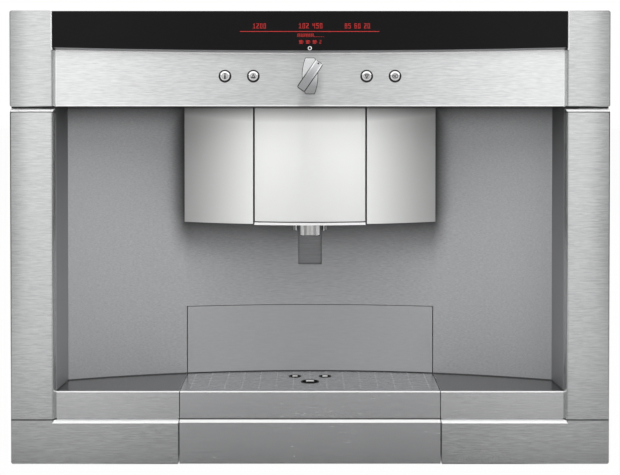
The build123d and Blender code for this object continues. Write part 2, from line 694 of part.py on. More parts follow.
def display_module():
    """Holder glued behind the glass, with the housing of the lit display in its middle."""
    y0 = GLASS_Y + GLASS_THICKNESS
    y1 = y0 + HOLDER_THICKNESS
    z0, z1 = GLASS_EDGE_Z + HOLDER_RISE, FRONT_HEIGHT - CARRIER_MARGIN
    half, housing = GLASS_HALF - HOLDER_INSET, DISPLAY_WIDTH / 2
    holder = block(-half, half, y0, y1, z0, z1)
    return holder + block(-housing, housing, y1, FRONT_DEPTH, z0 + DISPLAY_INSET, z1 - DISPLAY_INSET)


def control_panel():
    """Steel panel with holes for the buttons and the knob's shaft, folded back along its lower edge."""
    high = glass_edge(PANEL_HALF, -PANEL_HALF, TRIM_HEIGHT)
    low = Line((-PANEL_HALF, CAP_BOTTOM), (PANEL_HALF, CAP_BOTTOM))
    outline = low + Line(low @ 1, high @ 0) + high + Line(high @ 1, low @ 0)
    panel = drawn_y(outline, RECESS, PANEL_BACK)
    panel += block(-PANEL_HALF, PANEL_HALF, RECESS, CASE_FRONT, CAP_BOTTOM, CEILING_TOP)
    for x in BUTTON_XS.values():
        panel -= rod_y(x, CONTROL_Z, 0, CASE_FRONT, BUTTON_HOLE_RADIUS)
    return panel - rod_y(0, CONTROL_Z, 0, CASE_FRONT, SHAFT_RADIUS + SHAFT_HOLE_MARGIN)


def button(x):
    """Domed button on a stem, with a collar that keeps it behind the panel."""
    front = RECESS - BUTTON_PROUD
    cap = rod_y(x, CONTROL_Z, front, COLLAR_Y, BUTTON_RADIUS)
    cap = fillet(rim_at(cap, front), BUTTON_ROUND)
    collar = rod_y(x, CONTROL_Z, COLLAR_Y, COLLAR_Y + COLLAR_THICKNESS, COLLAR_RADIUS)
    stem = rod_y(x, CONTROL_Z, COLLAR_Y, SWITCH_Y - BUTTON_TRAVEL - FIT_GAP, STEM_RADIUS)
    return cap + collar + stem


def control_board():
    """Circuit board with four push switches and the encoder, and the plate that guides the button stems."""
    z0, z1 = CONTROL_Z - BOARD_HEIGHT / 2, CONTROL_Z + BOARD_HEIGHT / 2
    board_back = BOARD_Y + BOARD_THICKNESS
    board = block(-BOARD_HALF, BOARD_HALF, BOARD_Y, board_back, z0, z1)
    guide = block(-BOARD_HALF, BOARD_HALF, GUIDE_Y, GUIDE_Y + GUIDE_THICKNESS, z0, z1)
    reach = SWITCH_SIZE / 2
    for x in BUTTON_XS.values():
        guide -= rod_y(x, CONTROL_Z, 0, CASE_FRONT, STEM_RADIUS + SLIDE_CLEARANCE)
        board += block(x - reach, x + reach, SWITCH_Y, BOARD_Y, CONTROL_Z - reach, CONTROL_Z + reach)
    for x in sides(BOARD_HALF):
        board += block(x - SHEET, x + SHEET, PANEL_BACK, board_back, z0, z1)
    reach = ENCODER_SIZE / 2
    encoder = block(-reach, reach, GUIDE_Y, BOARD_Y, CONTROL_Z - reach, CONTROL_Z + reach)
    bore = rod_y(0, CONTROL_Z, 0, BOARD_Y - ENCODER_FLOOR, SHAFT_RADIUS + SHAFT_CLEARANCE)
    return board + guide + encoder - bore


def knob_base():
    """Fixed plinth of the knob: upright, with flat ends and bulging sides."""
    low, high = CONTROL_Z - KNOB_BASE_HALF, CONTROL_Z + KNOB_BASE_HALF
    end, bulge = KNOB_BASE_END / 2, KNOB_BASE_MIDDLE / 2
    outline = Line((-end, high), (end, high))
    outline += ThreePointArc((end, high), (bulge, CONTROL_Z), (end, low))
    outline += Line((end, low), (-end, low))
    outline += ThreePointArc((-end, low), (-bulge, CONTROL_Z), (-end, high))
    plinth = drawn_y(outline, KNOB_BASE_Y, RECESS)
    plinth = fillet(endways(plinth), KNOB_BASE_CORNER)
    plinth = fillet(rim_at(plinth, KNOB_BASE_Y), KNOB_BASE_ROUND)
    return plinth - rod_y(0, CONTROL_Z, KNOB_BASE_Y - CUT_OVER, RECESS + CUT_OVER, SHAFT_RADIUS + SHAFT_FREE)


def rotary_knob():
    """Turning grip: a slanted bar with a mark at its upper end, on a shaft that runs into the encoder."""
    back = KNOB_BASE_Y - 2 * FIT_GAP
    half, wide = KNOB_LENGTH / 2, KNOB_WIDTH / 2
    bar = block(-wide, wide, -KNOB_REACH, back, -half, half)
    bar = fillet(endways(bar), KNOB_CORNER)
    bar = fillet(rim_at(bar, -KNOB_REACH), KNOB_ROUND)
    mark_z = half - KNOB_MARK_INSET
    bar -= rod_y(0, mark_z, -KNOB_REACH - CUT_OVER, -KNOB_REACH + KNOB_MARK_DEPTH, KNOB_MARK_RADIUS)
    shaft = rod_y(0, 0, back - CUT_OVER, BOARD_Y - ENCODER_FLOOR - SHAFT_END_GAP, SHAFT_RADIUS)
    return Pos(0, 0, CONTROL_Z) * (Rot(0, KNOB_ANGLE, 0) * bar + shaft)


# ---------------------------------------------------------------- cup niche
def niche_liner():
    """Steel sheet round the niche, open for the grounds container, with a shallow groove behind the spout."""
    shell = niche_plan(FLOOR_Z - SHEET, CAP_BOTTOM, SHEET) - niche_plan(0, BIG, 0)
    shell -= block(-TRAY_PASS, TRAY_PASS, CASE_FRONT, BIG, 0, CONTAINER_TOP + SEAM)
    half, back = GROOVE_WIDTH / 2, NICHE_DEPTH + GROOVE_DEPTH
    groove = block(-half - SHEET, half + SHEET, HEAD_FRONT, back + SHEET, GROOVE_BOTTOM - SHEET, CAP_BOTTOM)
    groove -= niche_plan(0, BIG, 0)
    return shell + groove - block(-half, half, HEAD_FRONT, back, GROOVE_BOTTOM, BIG)


def niche_ceiling():
    """Flat top of the niche, cut out round the dispensing head."""
    plate = niche_plan(CAP_BOTTOM, CEILING_TOP, SHEET) - block(-BIG, BIG, 0, CASE_FRONT, 0, BIG)
    half = HEAD_HALF + HEAD_CLEARANCE
    return plate - between(-half, half, 0, BIG, head_front(-HEAD_CLEARANCE), BIG)


# ---------------------------------------------------------------- dispensing head
def head_cover():
    """Left cover of the head: bowed front, flank, inner wall and floor, hung on the ceiling by its flange."""
    outer, inner = -HEAD_HALF, -SIDE_COVER_IN
    cover = between(outer, inner, HEAD_BOTTOM, CEILING_TOP + HEAD_RISE, head_front(), back_wall(-FIT_GAP))
    flank = [edge for edge in upright(cover) if edge.center().X < outer + CUT_OVER]
    cover = fillet(min(flank, key=lambda edge: edge.center().Y), HEAD_EDGE)
    flange_out, flange_front = outer - HEAD_FLANGE, head_front(-HEAD_FLANGE)
    cover += between(flange_out, inner, CEILING_TOP, CEILING_TOP + WALL, flange_front, back_wall(-FIT_GAP)(outer))
    return cover - between(outer + WALL, inner - WALL, HEAD_BOTTOM + WALL, BIG, head_front(WALL), BIG)


def head_frame():
    """Back plate of the head, set on the edge of the liner, with the lugs that hold the guide rods."""
    half = COVER_HALF - WALL
    frame = between(-half, half, LUG_BOTTOM, CAP_BOTTOM, HEAD_PLATE_Y, back_wall(-FIT_GAP))
    frame += between(-half, half, CAP_BOTTOM, CAP_BOTTOM + 2 * SHEET, HEAD_PLATE_Y, back_wall(SHEET))
    frame += block(-half, half, HEAD_PLATE_Y, HEAD_PLATE_Y + 2 * SHEET, CAP_BOTTOM, ROD_TOP)
    for x in sides(ROD_X):
        for z in (LUG_BOTTOM, ROD_TOP - LUG_HEIGHT):
            frame += block(x - SLEEVE_RADIUS, x + SLEEVE_RADIUS, ROD_Y - SLEEVE_RADIUS, HEAD_PLATE_Y, z, z + LUG_HEIGHT)
        frame -= rod_z(x, ROD_Y, 0, BIG, ROD_RADIUS)
    return frame


def guide_rods():
    left, right = [rod_z(x, ROD_Y, LUG_BOTTOM, ROD_TOP, ROD_RADIUS) for x in sides(ROD_X)]
    return left + right


def outlet_cover():
    """Middle cover of the head: a tall bowed shell, which slides down with the spout."""
    back = head_front()(COVER_HALF) + COVER_DEPTH
    body = between(-COVER_HALF, COVER_HALF, LIP_TOP, COVER_TOP, head_front(), back)
    inner = COVER_HALF - WALL
    return body - between(-inner, inner, 0, BIG, head_front(WALL), BIG)


def outlet_block():
    """Sliding block: polished bottom plate, body of the outlet, and two sleeves on the guide rods."""
    inner = COVER_HALF - WALL - FIT_GAP
    body_half = OUTLET_BODY_WIDTH / 2
    inside = head_front(WALL + FIT_GAP)
    web_half = ROD_X + SLEEVE_RADIUS
    sleeve_top = SLEEVE_BOTTOM + SLEEVE_HEIGHT
    unit = between(-COVER_HALF, COVER_HALF, OUTLET_BOTTOM, LIP_TOP, head_front(-LIP_PROUD), WEB_BACK)
    unit += between(-body_half, body_half, LIP_TOP, LIP_TOP + OUTLET_BODY_HEIGHT, inside, WEB_BACK)
    unit += between(-inner, inner, SLEEVE_BOTTOM, SLEEVE_BOTTOM + 2 * SHEET, inside, WEB_BACK)
    unit += block(-web_half, web_half, WEB_BACK - 2 * SHEET, WEB_BACK, LIP_TOP, sleeve_top)
    for x in sides(ROD_X):
        unit += rod_z(x, ROD_Y, SLEEVE_BOTTOM, sleeve_top, SLEEVE_RADIUS)
        unit += block(x - ROD_RADIUS, x + ROD_RADIUS, WEB_BACK, ROD_Y, SLEEVE_BOTTOM, sleeve_top)
        unit -= rod_z(x, ROD_Y, LIP_TOP, BIG, ROD_RADIUS + SLIDE_CLEARANCE)
    return unit


def coffee_spout():
    """Chromed twin spout with a hollowed front, under the middle of the head."""
    half, reach = SPOUT_WIDTH / 2, SPOUT_DEPTH / 2
    low = OUTLET_BOTTOM - SPOUT_DROP
    body = block(-half, half, SPOUT_Y - reach, SPOUT_Y + reach, low, OUTLET_BOTTOM)
    body = fillet(upright(body), SPOUT_CORNER)
    body -= rod_z(0, SPOUT_Y - reach - SPOUT_SCOOP_RADIUS + SPOUT_SCOOP_DEPTH, 0, BIG, SPOUT_SCOOP_RADIUS)
    for x in sides(half / 2):
        body -= rod_z(x, SPOUT_Y, low - CUT_OVER, OUTLET_BOTTOM - SPOUT_BORE_TOP, SPOUT_BORE_RADIUS)
    return body


def side_nozzles():
    """Two small nozzles beside the spout."""
    low = OUTLET_BOTTOM - NOZZLE_DROP
    nozzles = []
    for x in sides(NOZZLE_X):
        tube = rod_z(x, SPOUT_Y, low, OUTLET_BOTTOM, NOZZLE_RADIUS)
        mouth = min(tube.edges().filter_by(GeomType.CIRCLE), key=lambda edge: edge.center().Z)
        tube = chamfer(mouth, NOZZLE_CHAMFER)
        nozzles.append(tube - rod_z(x, SPOUT_Y, low - CUT_OVER, OUTLET_BOTTOM - NOZZLE_TOP, NOZZLE_BORE_RADIUS))
    return nozzles[0] + nozzles[1]


# ---------------------------------------------------------------- drip tray
def tray_front():
    """Drawer front in two planes, with the bevel of the frame between them."""
    wall, back = TRAY_FRONT_WALL, TRAY_FRONT_DEPTH
    profile = [(0, TRAY_LIFT), (0, BAND), (RECESS, RAIL_TOP), (RECESS, FLOOR_Z), (back, FLOOR_Z), (back, TRAY_LIFT)]
    hollow = [(wall, TRAY_LIFT + wall), (wall, BAND - BEVEL / 2), (RECESS + wall, RAIL_TOP),
              (RECESS + wall, FLOOR_Z - wall), (back + CUT_OVER, FLOOR_Z - wall), (back + CUT_OVER, TRAY_LIFT + wall)]
    inner = TRAY_HALF - TRAY_FRONT_RIM
    return prism_x(profile, -TRAY_HALF, TRAY_HALF) - prism_x(hollow, -inner, inner)


def drip_pan():
    """Plastic pan that carries the front, the drip plate and the grounds container."""
    half, front = TRAY_HALF - PAN_INSET, TRAY_FRONT_DEPTH
    plate_z = FLOOR_Z - PLATE_THICKNESS
    pan = block(-half, half, front, PAN_BACK, PAN_FLOOR_Z, PAN_TOP_Z)
    pan = fillet([edge for edge in upright(pan) if edge.center().Y > PAN_BACK - CUT_OVER], PAN_CORNER)
    inner = half - WALL
    pan -= block(-inner, inner, front + WALL, PAN_BACK - WALL, PAN_FLOOR_Z + WALL, BIG)
    pan += block(-half, half, front, front + WALL, PAN_FLOOR_Z, plate_z)
    lip_back = back_wall(-FIT_GAP)(inner) - WALL
    for side in (-1, 1):
        lip_x0, lip_x1 = span(side, inner - PAN_LIP, inner)
        pan += block(lip_x0, lip_x1, front, lip_back, PAN_TOP_Z - WALL, plate_z)
        runner_x0, runner_x1 = span(side, half, TRAY_RUNNER_HALF)
        pan += block(runner_x0, runner_x1, CASE_FRONT, PAN_BACK - RUNNER_END, PAN_FLOOR_Z, PAN_FLOOR_Z + RUNNER_HEIGHT)
    return pan


def grounds_container():
    """Bin for spent coffee. Its curved front panel closes the back wall of the niche above the plate."""
    half, bin_half = TRAY_HALF - FIT_GAP, CONTAINER_WIDTH / 2
    floor = PAN_FLOOR_Z + WALL
    panel = between(-half, half, FLOOR_Z - PLATE_THICKNESS - FIT_GAP, CONTAINER_TOP, back_wall(), back_wall(WALL))
    body = between(-bin_half, bin_half, floor, CONTAINER_TOP - BIN_DROP, back_wall(WALL), CONTAINER_BACK)
    rear = [edge for edge in upright(body) if edge.center().Y > CONTAINER_BACK - CUT_OVER]
    body = fillet(rear, CONTAINER_CORNER)
    inner = bin_half - WALL
    return panel + body - between(-inner, inner, floor + WALL, BIG, back_wall(2 * WALL), CONTAINER_BACK - WALL)


def drain_holes():
    """Middle and radius of each drain hole in the drip plate: one in front of the spout, two behind it."""
    small = [(x, SPOUT_Y + SMALL_HOLE_BEHIND, SMALL_HOLE_RADIUS) for x in sides(SMALL_HOLE_X)]
    return [(0, SPOUT_Y - BIG_HOLE_AHEAD, BIG_HOLE_RADIUS)] + small


def drip_plate():
    """Steel plate with three drain holes, cut to the curve of the back wall."""
    half = TRAY_HALF - FIT_GAP
    plate = between(-half, half, FLOOR_Z - PLATE_THICKNESS, FLOOR_Z, TRAY_FRONT_DEPTH + FIT_GAP, back_wall(-SEAM))
    for x, y, radius in drain_holes():
        plate -= rod_z(x, y, 0, BIG, radius)
    return plate


def drain_rings():
    """Polished rings pressed into the drain holes."""
    low, high = FLOOR_Z - PLATE_THICKNESS - RING_DROP, FLOOR_Z + RING_PROUD
    rings = [rod_z(x, y, low, high, radius) - rod_z(x, y, 0, BIG, radius - RING_WALL) for x, y, radius in drain_holes()]
    return rings[0] + rings[1] + rings[2]


# ---------------------------------------------------------------- casing
def base_pan():
    """Bottom sheet of the casing, with the guides and the back stop of the drip tray."""
    pan = block(-CASE_IN, CASE_IN, CASE_FRONT, CASE_BACK, CASE_BOTTOM, CASE_FLOOR)
    shelf_top, guide_top = CASE_FLOOR + TRAY_SHELF_HEIGHT, PAN_FLOOR_Z + 2 * RUNNER_HEIGHT
    front = CASE_FRONT + TRAY_GUIDE_SETBACK
    for side in (-1, 1):
        shelf_x0, shelf_x1 = span(side, TRAY_HALF - PAN_INSET - TRAY_SHELF_OVERLAP, TRAY_PASS + WALL)
        guide_x0, guide_x1 = span(side, TRAY_PASS, TRAY_PASS + WALL)
        pan += block(shelf_x0, shelf_x1, front, PAN_BACK, CASE_FLOOR, shelf_top)
        pan += block(guide_x0, guide_x1, front, PAN_BACK, CASE_FLOOR, guide_top)
    half, stop = TRAY_STOP_WIDTH / 2, PAN_BACK + TRAY_STOP_GAP
    return pan + block(-half, half, stop, stop + WALL, CASE_FLOOR, PAN_FLOOR_Z + TRAY_STOP_HEIGHT)


def vents(z0):
    """A stack of slots from height z0 upwards, long along x and y, for cutting through a sheet."""
    half = VENT_LENGTH / 2
    heights = [z0 + row * VENT_PITCH for row in range(VENT_ROWS)]
    return [block(-half, half, -half, half, z, z + VENT_HEIGHT) for z in heights]


def side_panel_left():
    panel = block(-CASE_HALF, -CASE_IN, CASE_FRONT, CASE_BACK, CASE_BOTTOM, CASE_TOP)
    for slot in vents(CASE_BOTTOM + VENT_SIDE_RISE):
        panel -= Pos(-CASE_HALF, PUMP_Y + PUMP_LENGTH / 2, 0) * slot
    return panel


def side_panel_right():
    """Right side sheet with the opening of the service door and the lower halves of its hinges."""
    panel = block(CASE_IN, CASE_HALF, CASE_FRONT, CASE_BACK, CASE_BOTTOM, CASE_TOP)
    panel -= block(0, BIG, DOOR_FRONT, DOOR_BACK, DOOR_BOTTOM, DOOR_TOP)
    x, y = DOOR_AXIS_X, DOOR_AXIS_Y
    for z in DOOR_HINGE_ZS:
        low = z - FIT_GAP - KNUCKLE_LENGTH / 2
        panel += rod_z(x, y, low, z - FIT_GAP, KNUCKLE_RADIUS)
        panel += block(CASE_HALF, x, y - HINGE_LEAF, y, low, z - FIT_GAP)
        panel += rod_z(x, y, low, z + KNUCKLE_LENGTH - 2 * PIN_CAP, PIN_RADIUS)
    return panel


def service_door():
    """Side door in front of the brewing unit, with the upper halves of its two lift-off hinges."""
    front = DOOR_FRONT + DOOR_GAP
    door = block(CASE_IN, CASE_HALF, front, DOOR_BACK - DOOR_GAP, DOOR_BOTTOM + DOOR_GAP, DOOR_TOP - DOOR_GAP)
    x, y = DOOR_AXIS_X, DOOR_AXIS_Y
    for z in DOOR_HINGE_ZS:
        door += rod_z(x, y, z, z + KNUCKLE_LENGTH, KNUCKLE_RADIUS)
        door += block(CASE_HALF, x, front, y + HINGE_LEAF, z, z + KNUCKLE_LENGTH)
        door -= rod_z(x, y, z - CUT_OVER, z + KNUCKLE_LENGTH - PIN_CAP, PIN_RADIUS + SHAFT_CLEARANCE)
    return door


def rear_panel():
    """Back sheet with vents and the opening of the mains inlet."""
    panel = block(-CASE_IN, CASE_IN, CASE_BACK - CASE_SHEET, CASE_BACK, CASE_FLOOR, CASE_TOP - CASE_SHEET)
    for x in sides(VENT_LENGTH):
        for slot in vents(CASE_TOP - VENT_REAR_DROP):
            panel -= Pos(x, CASE_BACK, 0) * slot
    half, rise = INLET_WIDTH / 2, INLET_HEIGHT / 2
    return panel - block(INLET_X - half, INLET_X + half, 0, BIG, INLET_Z - rise, INLET_Z + rise)


def top_panel():
    """Top sheet with openings for the water tank and the bean hopper, and the lugs of the lid's hinge."""
    panel = block(-CASE_IN, CASE_IN, CASE_FRONT, CASE_BACK, CASE_TOP - CASE_SHEET, CASE_TOP)
    gap = TANK_CLEARANCE
    panel -= block(TANK_LEFT - gap, TANK_RIGHT + gap, TANK_FRONT - gap, TANK_BACK + gap, 0, BIG)
    half, reach = HOPPER_WIDTH / 2, HOPPER_DEPTH / 2
    panel -= block(HOPPER_X - half, HOPPER_X + half, HOPPER_Y - reach, HOPPER_Y + reach, 0, BIG)
    for side in (-1, 1):
        lug_x0, lug_x1 = span(side, LID_LUG_NEAR, LID_LUG_NEAR + LID_LUG_WIDTH)
        pin_x0, pin_x1 = span(side, LID_LUG_NEAR - KNUCKLE_LENGTH / 2, LID_LUG_NEAR + CUT_OVER)
        panel += block(HOPPER_X + lug_x0, HOPPER_X + lug_x1, LID_AXIS_Y - LID_KNUCKLE_RADIUS,
                       LID_AXIS_Y + LID_KNUCKLE_RADIUS, CASE_TOP - CASE_SHEET, LID_AXIS_Z + LID_KNUCKLE_RADIUS)
        panel += rod_x(LID_AXIS_Y, LID_AXIS_Z, HOPPER_X + pin_x0, HOPPER_X + pin_x1, LID_PIN_RADIUS)
    return panel


# ---------------------------------------------------------------- cabinet mount and rails
def mounting_plate():
    """Steel plate screwed to the cabinet floor, with upright flanges for the rails."""
    plate = block(-MOUNT_HALF, MOUNT_HALF, MOUNT_FRONT, MOUNT_BACK, 0, MOUNT_SHEET)
    for side in (-1, 1):
        flange_x0, flange_x1 = span(side, OUTER_X, MOUNT_HALF)
        plate += block(flange_x0, flange_x1, MOUNT_FRONT, MOUNT_BACK, 0, OUTER_Z[1] + RAIL_FLANGE_RISE)
        x = side * (MOUNT_HALF - MOUNT_HOLE_SIDE)
        for y in (MOUNT_FRONT + MOUNT_HOLE_FRONT, MOUNT_BACK - MOUNT_HOLE_BACK):
            plate -= rod_z(x, y, -CUT_OVER, MOUNT_SHEET + CUT_OVER, MOUNT_HOLE_RADIUS)
    return plate


def rail_section(x_in, x_out, heights):
    """Right rail of C section, open towards the machine."""
    z0, z1 = heights
    rail = block(x_in, x_out, RAIL_FRONT, RAIL_BACK, z0, z1)
    return rail - block(0, x_out - RAIL_WALL, 0, BIG, z0 + RAIL_WALL, z1 - RAIL_WALL)


def outer_rails():
    rail = rail_section(CASE_HALF + RAIL_PLAY, OUTER_X, OUTER_Z)
    return rail + other_side(rail)


def middle_rails():
    rail = rail_section(CASE_HALF + RAIL_PLAY, MIDDLE_X, MIDDLE_Z)
    return rail + other_side(rail)


def inner_rails():
    """Bars on the sides of the casing, which run in the middle rails."""
    rail = block(CASE_HALF, INNER_X, RAIL_FRONT, RAIL_BACK, *INNER_Z)
    return rail + other_side(rail)


def rail_balls():
    """Bearing balls in the four rows of each side."""
    x = (CASE_HALF + INNER_X) / 2
    reach = RAIL_WALL + BALL_SPACE / 2
    rows = (OUTER_Z[0] + reach, OUTER_Z[1] - reach, MIDDLE_Z[0] + reach, MIDDLE_Z[1] - reach)
    middle = (RAIL_FRONT + RAIL_BACK) / 2
    balls = []
    for z in rows:
        for i in range(BALLS_PER_ROW):
            y = middle + (i - (BALLS_PER_ROW - 1) / 2) * BALL_PITCH
            balls += [Pos(side_x, y, z) * Sphere(BALL_RADIUS) for side_x in sides(x)]
    return Compound(children=balls)


# ---------------------------------------------------------------- water path
def water_tank():
    """Clear tank with a grip across its top and the valve underneath."""
    body = block(TANK_LEFT, TANK_RIGHT, TANK_FRONT, TANK_BACK, TANK_BOTTOM, TANK_TOP)
    body = fillet(upright(body), TANK_CORNER)
    space = block(TANK_LEFT + WALL, TANK_RIGHT - WALL, TANK_FRONT + WALL, TANK_BACK - WALL, TANK_BOTTOM + WALL, BIG)
    tank = body - fillet(upright(space), TANK_CORNER - WALL)
    middle = (TANK_FRONT + TANK_BACK) / 2
    tank += block(TANK_LEFT + WALL / 2, TANK_RIGHT - WALL / 2, middle - GRIP_WIDTH / 2, middle + GRIP_WIDTH / 2,
                  TANK_TOP - GRIP_THICKNESS, TANK_TOP)
    tank += rod_z(VALVE_X, VALVE_Y, TANK_BOTTOM - VALVE_LENGTH, TANK_BOTTOM, VALVE_RADIUS)
    return tank - rod_z(VALVE_X, VALVE_Y, 0, TANK_BOTTOM + WALL + CUT_OVER, VALVE_RADIUS - VALVE_WALL)


def tank_dock():
    """Shelf under the tank with the seat of its valve, on a bracket along the left side sheet."""
    x0, x1 = TANK_LEFT - DOCK_MARGIN, TANK_RIGHT + DOCK_MARGIN
    y0, y1 = TANK_FRONT - DOCK_MARGIN, TANK_BACK + DOCK_MARGIN
    dock = block(x0, x1, y0, y1, DOCK_TOP - DOCK_THICKNESS, DOCK_TOP)
    near, far, low = y0 + DOCK_BRACKET_INSET, y1 - DOCK_BRACKET_INSET, DOCK_TOP - DOCK_BRACKET_HEIGHT
    dock += block(-CASE_IN, x0, near, far, low, DOCK_TOP)
    dock += block(x0, x0 + DOCK_MARGIN, near, far, low, DOCK_TOP - DOCK_THICKNESS)
    dock -= rod_z(VALVE_X, VALVE_Y, DOCK_TOP - VALVE_LENGTH - CUT_OVER, BIG, VALVE_RADIUS + VALVE_CLEARANCE)
    return dock - rod_z(VALVE_X, VALVE_Y, 0, BIG, VALVE_RADIUS - VALVE_WALL)


def water_pump():
    """Pump on its foot, with the two pipe ends."""
    back = PUMP_Y + PUMP_LENGTH
    pump = rod_y(PUMP_X, PUMP_Z, PUMP_Y, back, PUMP_RADIUS)
    pump += rod_y(PUMP_X, PUMP_Z, PUMP_Y - PUMP_END_LENGTH, PUMP_Y, PUMP_INTAKE_RADIUS)
    pump += rod_y(PUMP_X, PUMP_Z, back, back + PUMP_END_LENGTH, PUMP_OUTLET_RADIUS)
    half = PUMP_FOOT_WIDTH / 2
    return pump + block(PUMP_X - half, PUMP_X + half, PUMP_Y + PUMP_FOOT_INSET, back - PUMP_FOOT_INSET,
                        CASE_FLOOR, PUMP_Z - PUMP_FOOT_DROP)


def thermoblock():
    """Cast heater with the ends of its water tube, on two posts."""
    half, reach = HEATER_WIDTH / 2, HEATER_DEPTH / 2
    heater = block(HEATER_X - half, HEATER_X + half, HEATER_Y - reach, HEATER_Y + reach, HEATER_BOTTOM, HEATER_TOP)
    heater = fillet(upright(heater), HEATER_CORNER)
    for z in (HEATER_BOTTOM + TUBE_INSET, HEATER_TOP - TUBE_INSET):
        heater += rod_y(HEATER_X, z, HEATER_BACK - CUT_OVER, HEATER_BACK + TUBE_LENGTH, TUBE_RADIUS)
    for y in (HEATER_Y - reach + HEATER_LEG_INSET, HEATER_Y + reach - HEATER_LEG_INSET):
        heater += rod_z(HEATER_X, y, CASE_FLOOR, HEATER_BOTTOM, LEG_RADIUS)
    return heater


# ---------------------------------------------------------------- coffee path
def funnel(inset):
    """The shape of the bean funnel, made smaller all round by an inset."""
    width, depth = HOPPER_WIDTH - 2 * (FIT_GAP + inset), HOPPER_DEPTH - 2 * (FIT_GAP + inset)
    neck, corner = 2 * (THROAT_RADIUS + THROAT_MARGIN - inset), HOPPER_CORNER - inset
    high = Pos(HOPPER_X, HOPPER_Y, CASE_TOP) * RectangleRounded(width, depth, corner)
    low = Pos(HOPPER_X, HOPPER_Y, HOPPER_BOTTOM) * RectangleRounded(neck, neck, corner)
    return loft([low, high])


def bean_hopper():
    """Funnel from the opening in the top sheet down to the throat of the grinder."""
    flange = rod_z(HOPPER_X, HOPPER_Y, GRINDER_TOP, HOPPER_BOTTOM, THROAT_RADIUS + THROAT_FLANGE)
    flange -= rod_z(HOPPER_X, HOPPER_Y, 0, BIG, THROAT_RADIUS)
    return funnel(0) - funnel(WALL) + flange


def bean_lid():
    """Hinged cover over the bean hopper, with its knuckles along the back edge."""
    half, reach = HOPPER_WIDTH / 2 + LID_MARGIN, HOPPER_DEPTH / 2 + LID_MARGIN
    lid = block(HOPPER_X - half, HOPPER_X + half, HOPPER_Y - reach, HOPPER_Y + reach, LID_Z, LID_Z + LID_THICKNESS)
    lid = fillet([edge for edge in upright(lid) if edge.center().Y < HOPPER_Y], LID_CORNER)
    for side in (-1, 1):
        notch_x0, notch_x1 = span(side, LID_LUG_NEAR - FIT_GAP, LID_LUG_NEAR + LID_LUG_WIDTH + FIT_GAP)
        lid -= block(HOPPER_X + notch_x0, HOPPER_X + notch_x1, LID_AXIS_Y - 3 * LID_KNUCKLE_RADIUS, BIG, 0, BIG)
        x = HOPPER_X + side * LID_HINGE_X
        x0, x1 = x - KNUCKLE_LENGTH / 2, x + KNUCKLE_LENGTH / 2
        lid += rod_x(LID_AXIS_Y, LID_AXIS_Z, x0, x1, LID_KNUCKLE_RADIUS)
        lid += block(x0, x1, LID_AXIS_Y - 2 * LID_KNUCKLE_RADIUS, LID_AXIS_Y, LID_Z, LID_Z + LID_THICKNESS)
        lid -= rod_x(LID_AXIS_Y, LID_AXIS_Z, x0 - CUT_OVER, x1 + CUT_OVER, LID_PIN_RADIUS + SHAFT_CLEARANCE)
    return lid


def chute(x0, x1, y1, drop):
    """A sloping bar from over the brewing bore up to depth y1, thinner by a drop above and below."""
    y0, z0 = BREW_Y + drop, BREW_TOP + drop
    height = CHUTE_HEIGHT - 2 * drop
    rise = CHUTE_RISE * (y1 - y0) / (HOPPER_Y - BREW_Y)
    return prism_x([(y0, z0), (y1, z0 + rise), (y1, z0 + rise + height), (y0, z0 + height)], x0, x1)


def grinder():
    """Grinder housing on its legs, with the motor below and the chute to the brewing unit in front."""
    x, y = HOPPER_X, HOPPER_Y
    chute_x = x - CHUTE_WIDTH
    unit = rod_z(x, y, GRINDER_BOTTOM, GRINDER_TOP, GRINDER_RADIUS)
    unit += chute(chute_x - CHUTE_WIDTH / 2, chute_x + CHUTE_WIDTH / 2, y - CHAMBER_RADIUS, 0)
    unit -= rod_z(x, y, GRINDER_BOTTOM + CHAMBER_FLOOR, BIG, CHAMBER_RADIUS)
    unit -= rod_z(x, y, BURR_Z, BIG, BURR_SEAT_RADIUS)
    unit -= chute(chute_x - CHUTE_WIDTH / 2 + SHEET, chute_x + CHUTE_WIDTH / 2 - SHEET, y - CHAMBER_RADIUS / 2, SHEET)
    mouth = CHUTE_WIDTH / 2 - SHEET
    unit -= block(chute_x - mouth, chute_x + mouth, BREW_Y + SHEET, BREW_Y + CHUTE_WIDTH, BREW_TOP - CUT_OVER,
                  BREW_TOP + 2 * SHEET)
    unit += rod_z(x, y, GRINDER_BOTTOM - MOTOR_LENGTH, GRINDER_BOTTOM, MOTOR_RADIUS)
    for leg_x in sides(GRINDER_RADIUS - LEG_RADIUS - LEG_INSET):
        unit += rod_z(x + leg_x, y, CASE_FLOOR, GRINDER_BOTTOM, LEG_RADIUS)
    return unit - rod_z(x, y, GRINDER_BOTTOM - SPINDLE_DEPTH, BIG, SPINDLE_RADIUS + SHAFT_CLEARANCE)


def burr_cone(grow):
    """The working cone of the burrs, grown sideways by a clearance."""
    cone = Cone(BURR_RADIUS + grow, BURR_TOP_RADIUS + grow, BURR_HEIGHT)
    return Pos(HOPPER_X, HOPPER_Y, BURR_Z + BURR_HEIGHT / 2) * cone


def ring_burr():
    """Fixed outer burr, set on the shoulder of the grinder's bore."""
    return rod_z(HOPPER_X, HOPPER_Y, BURR_Z, BURR_Z + BURR_HEIGHT, BURR_SEAT_RADIUS) - burr_cone(BURR_CLEARANCE)


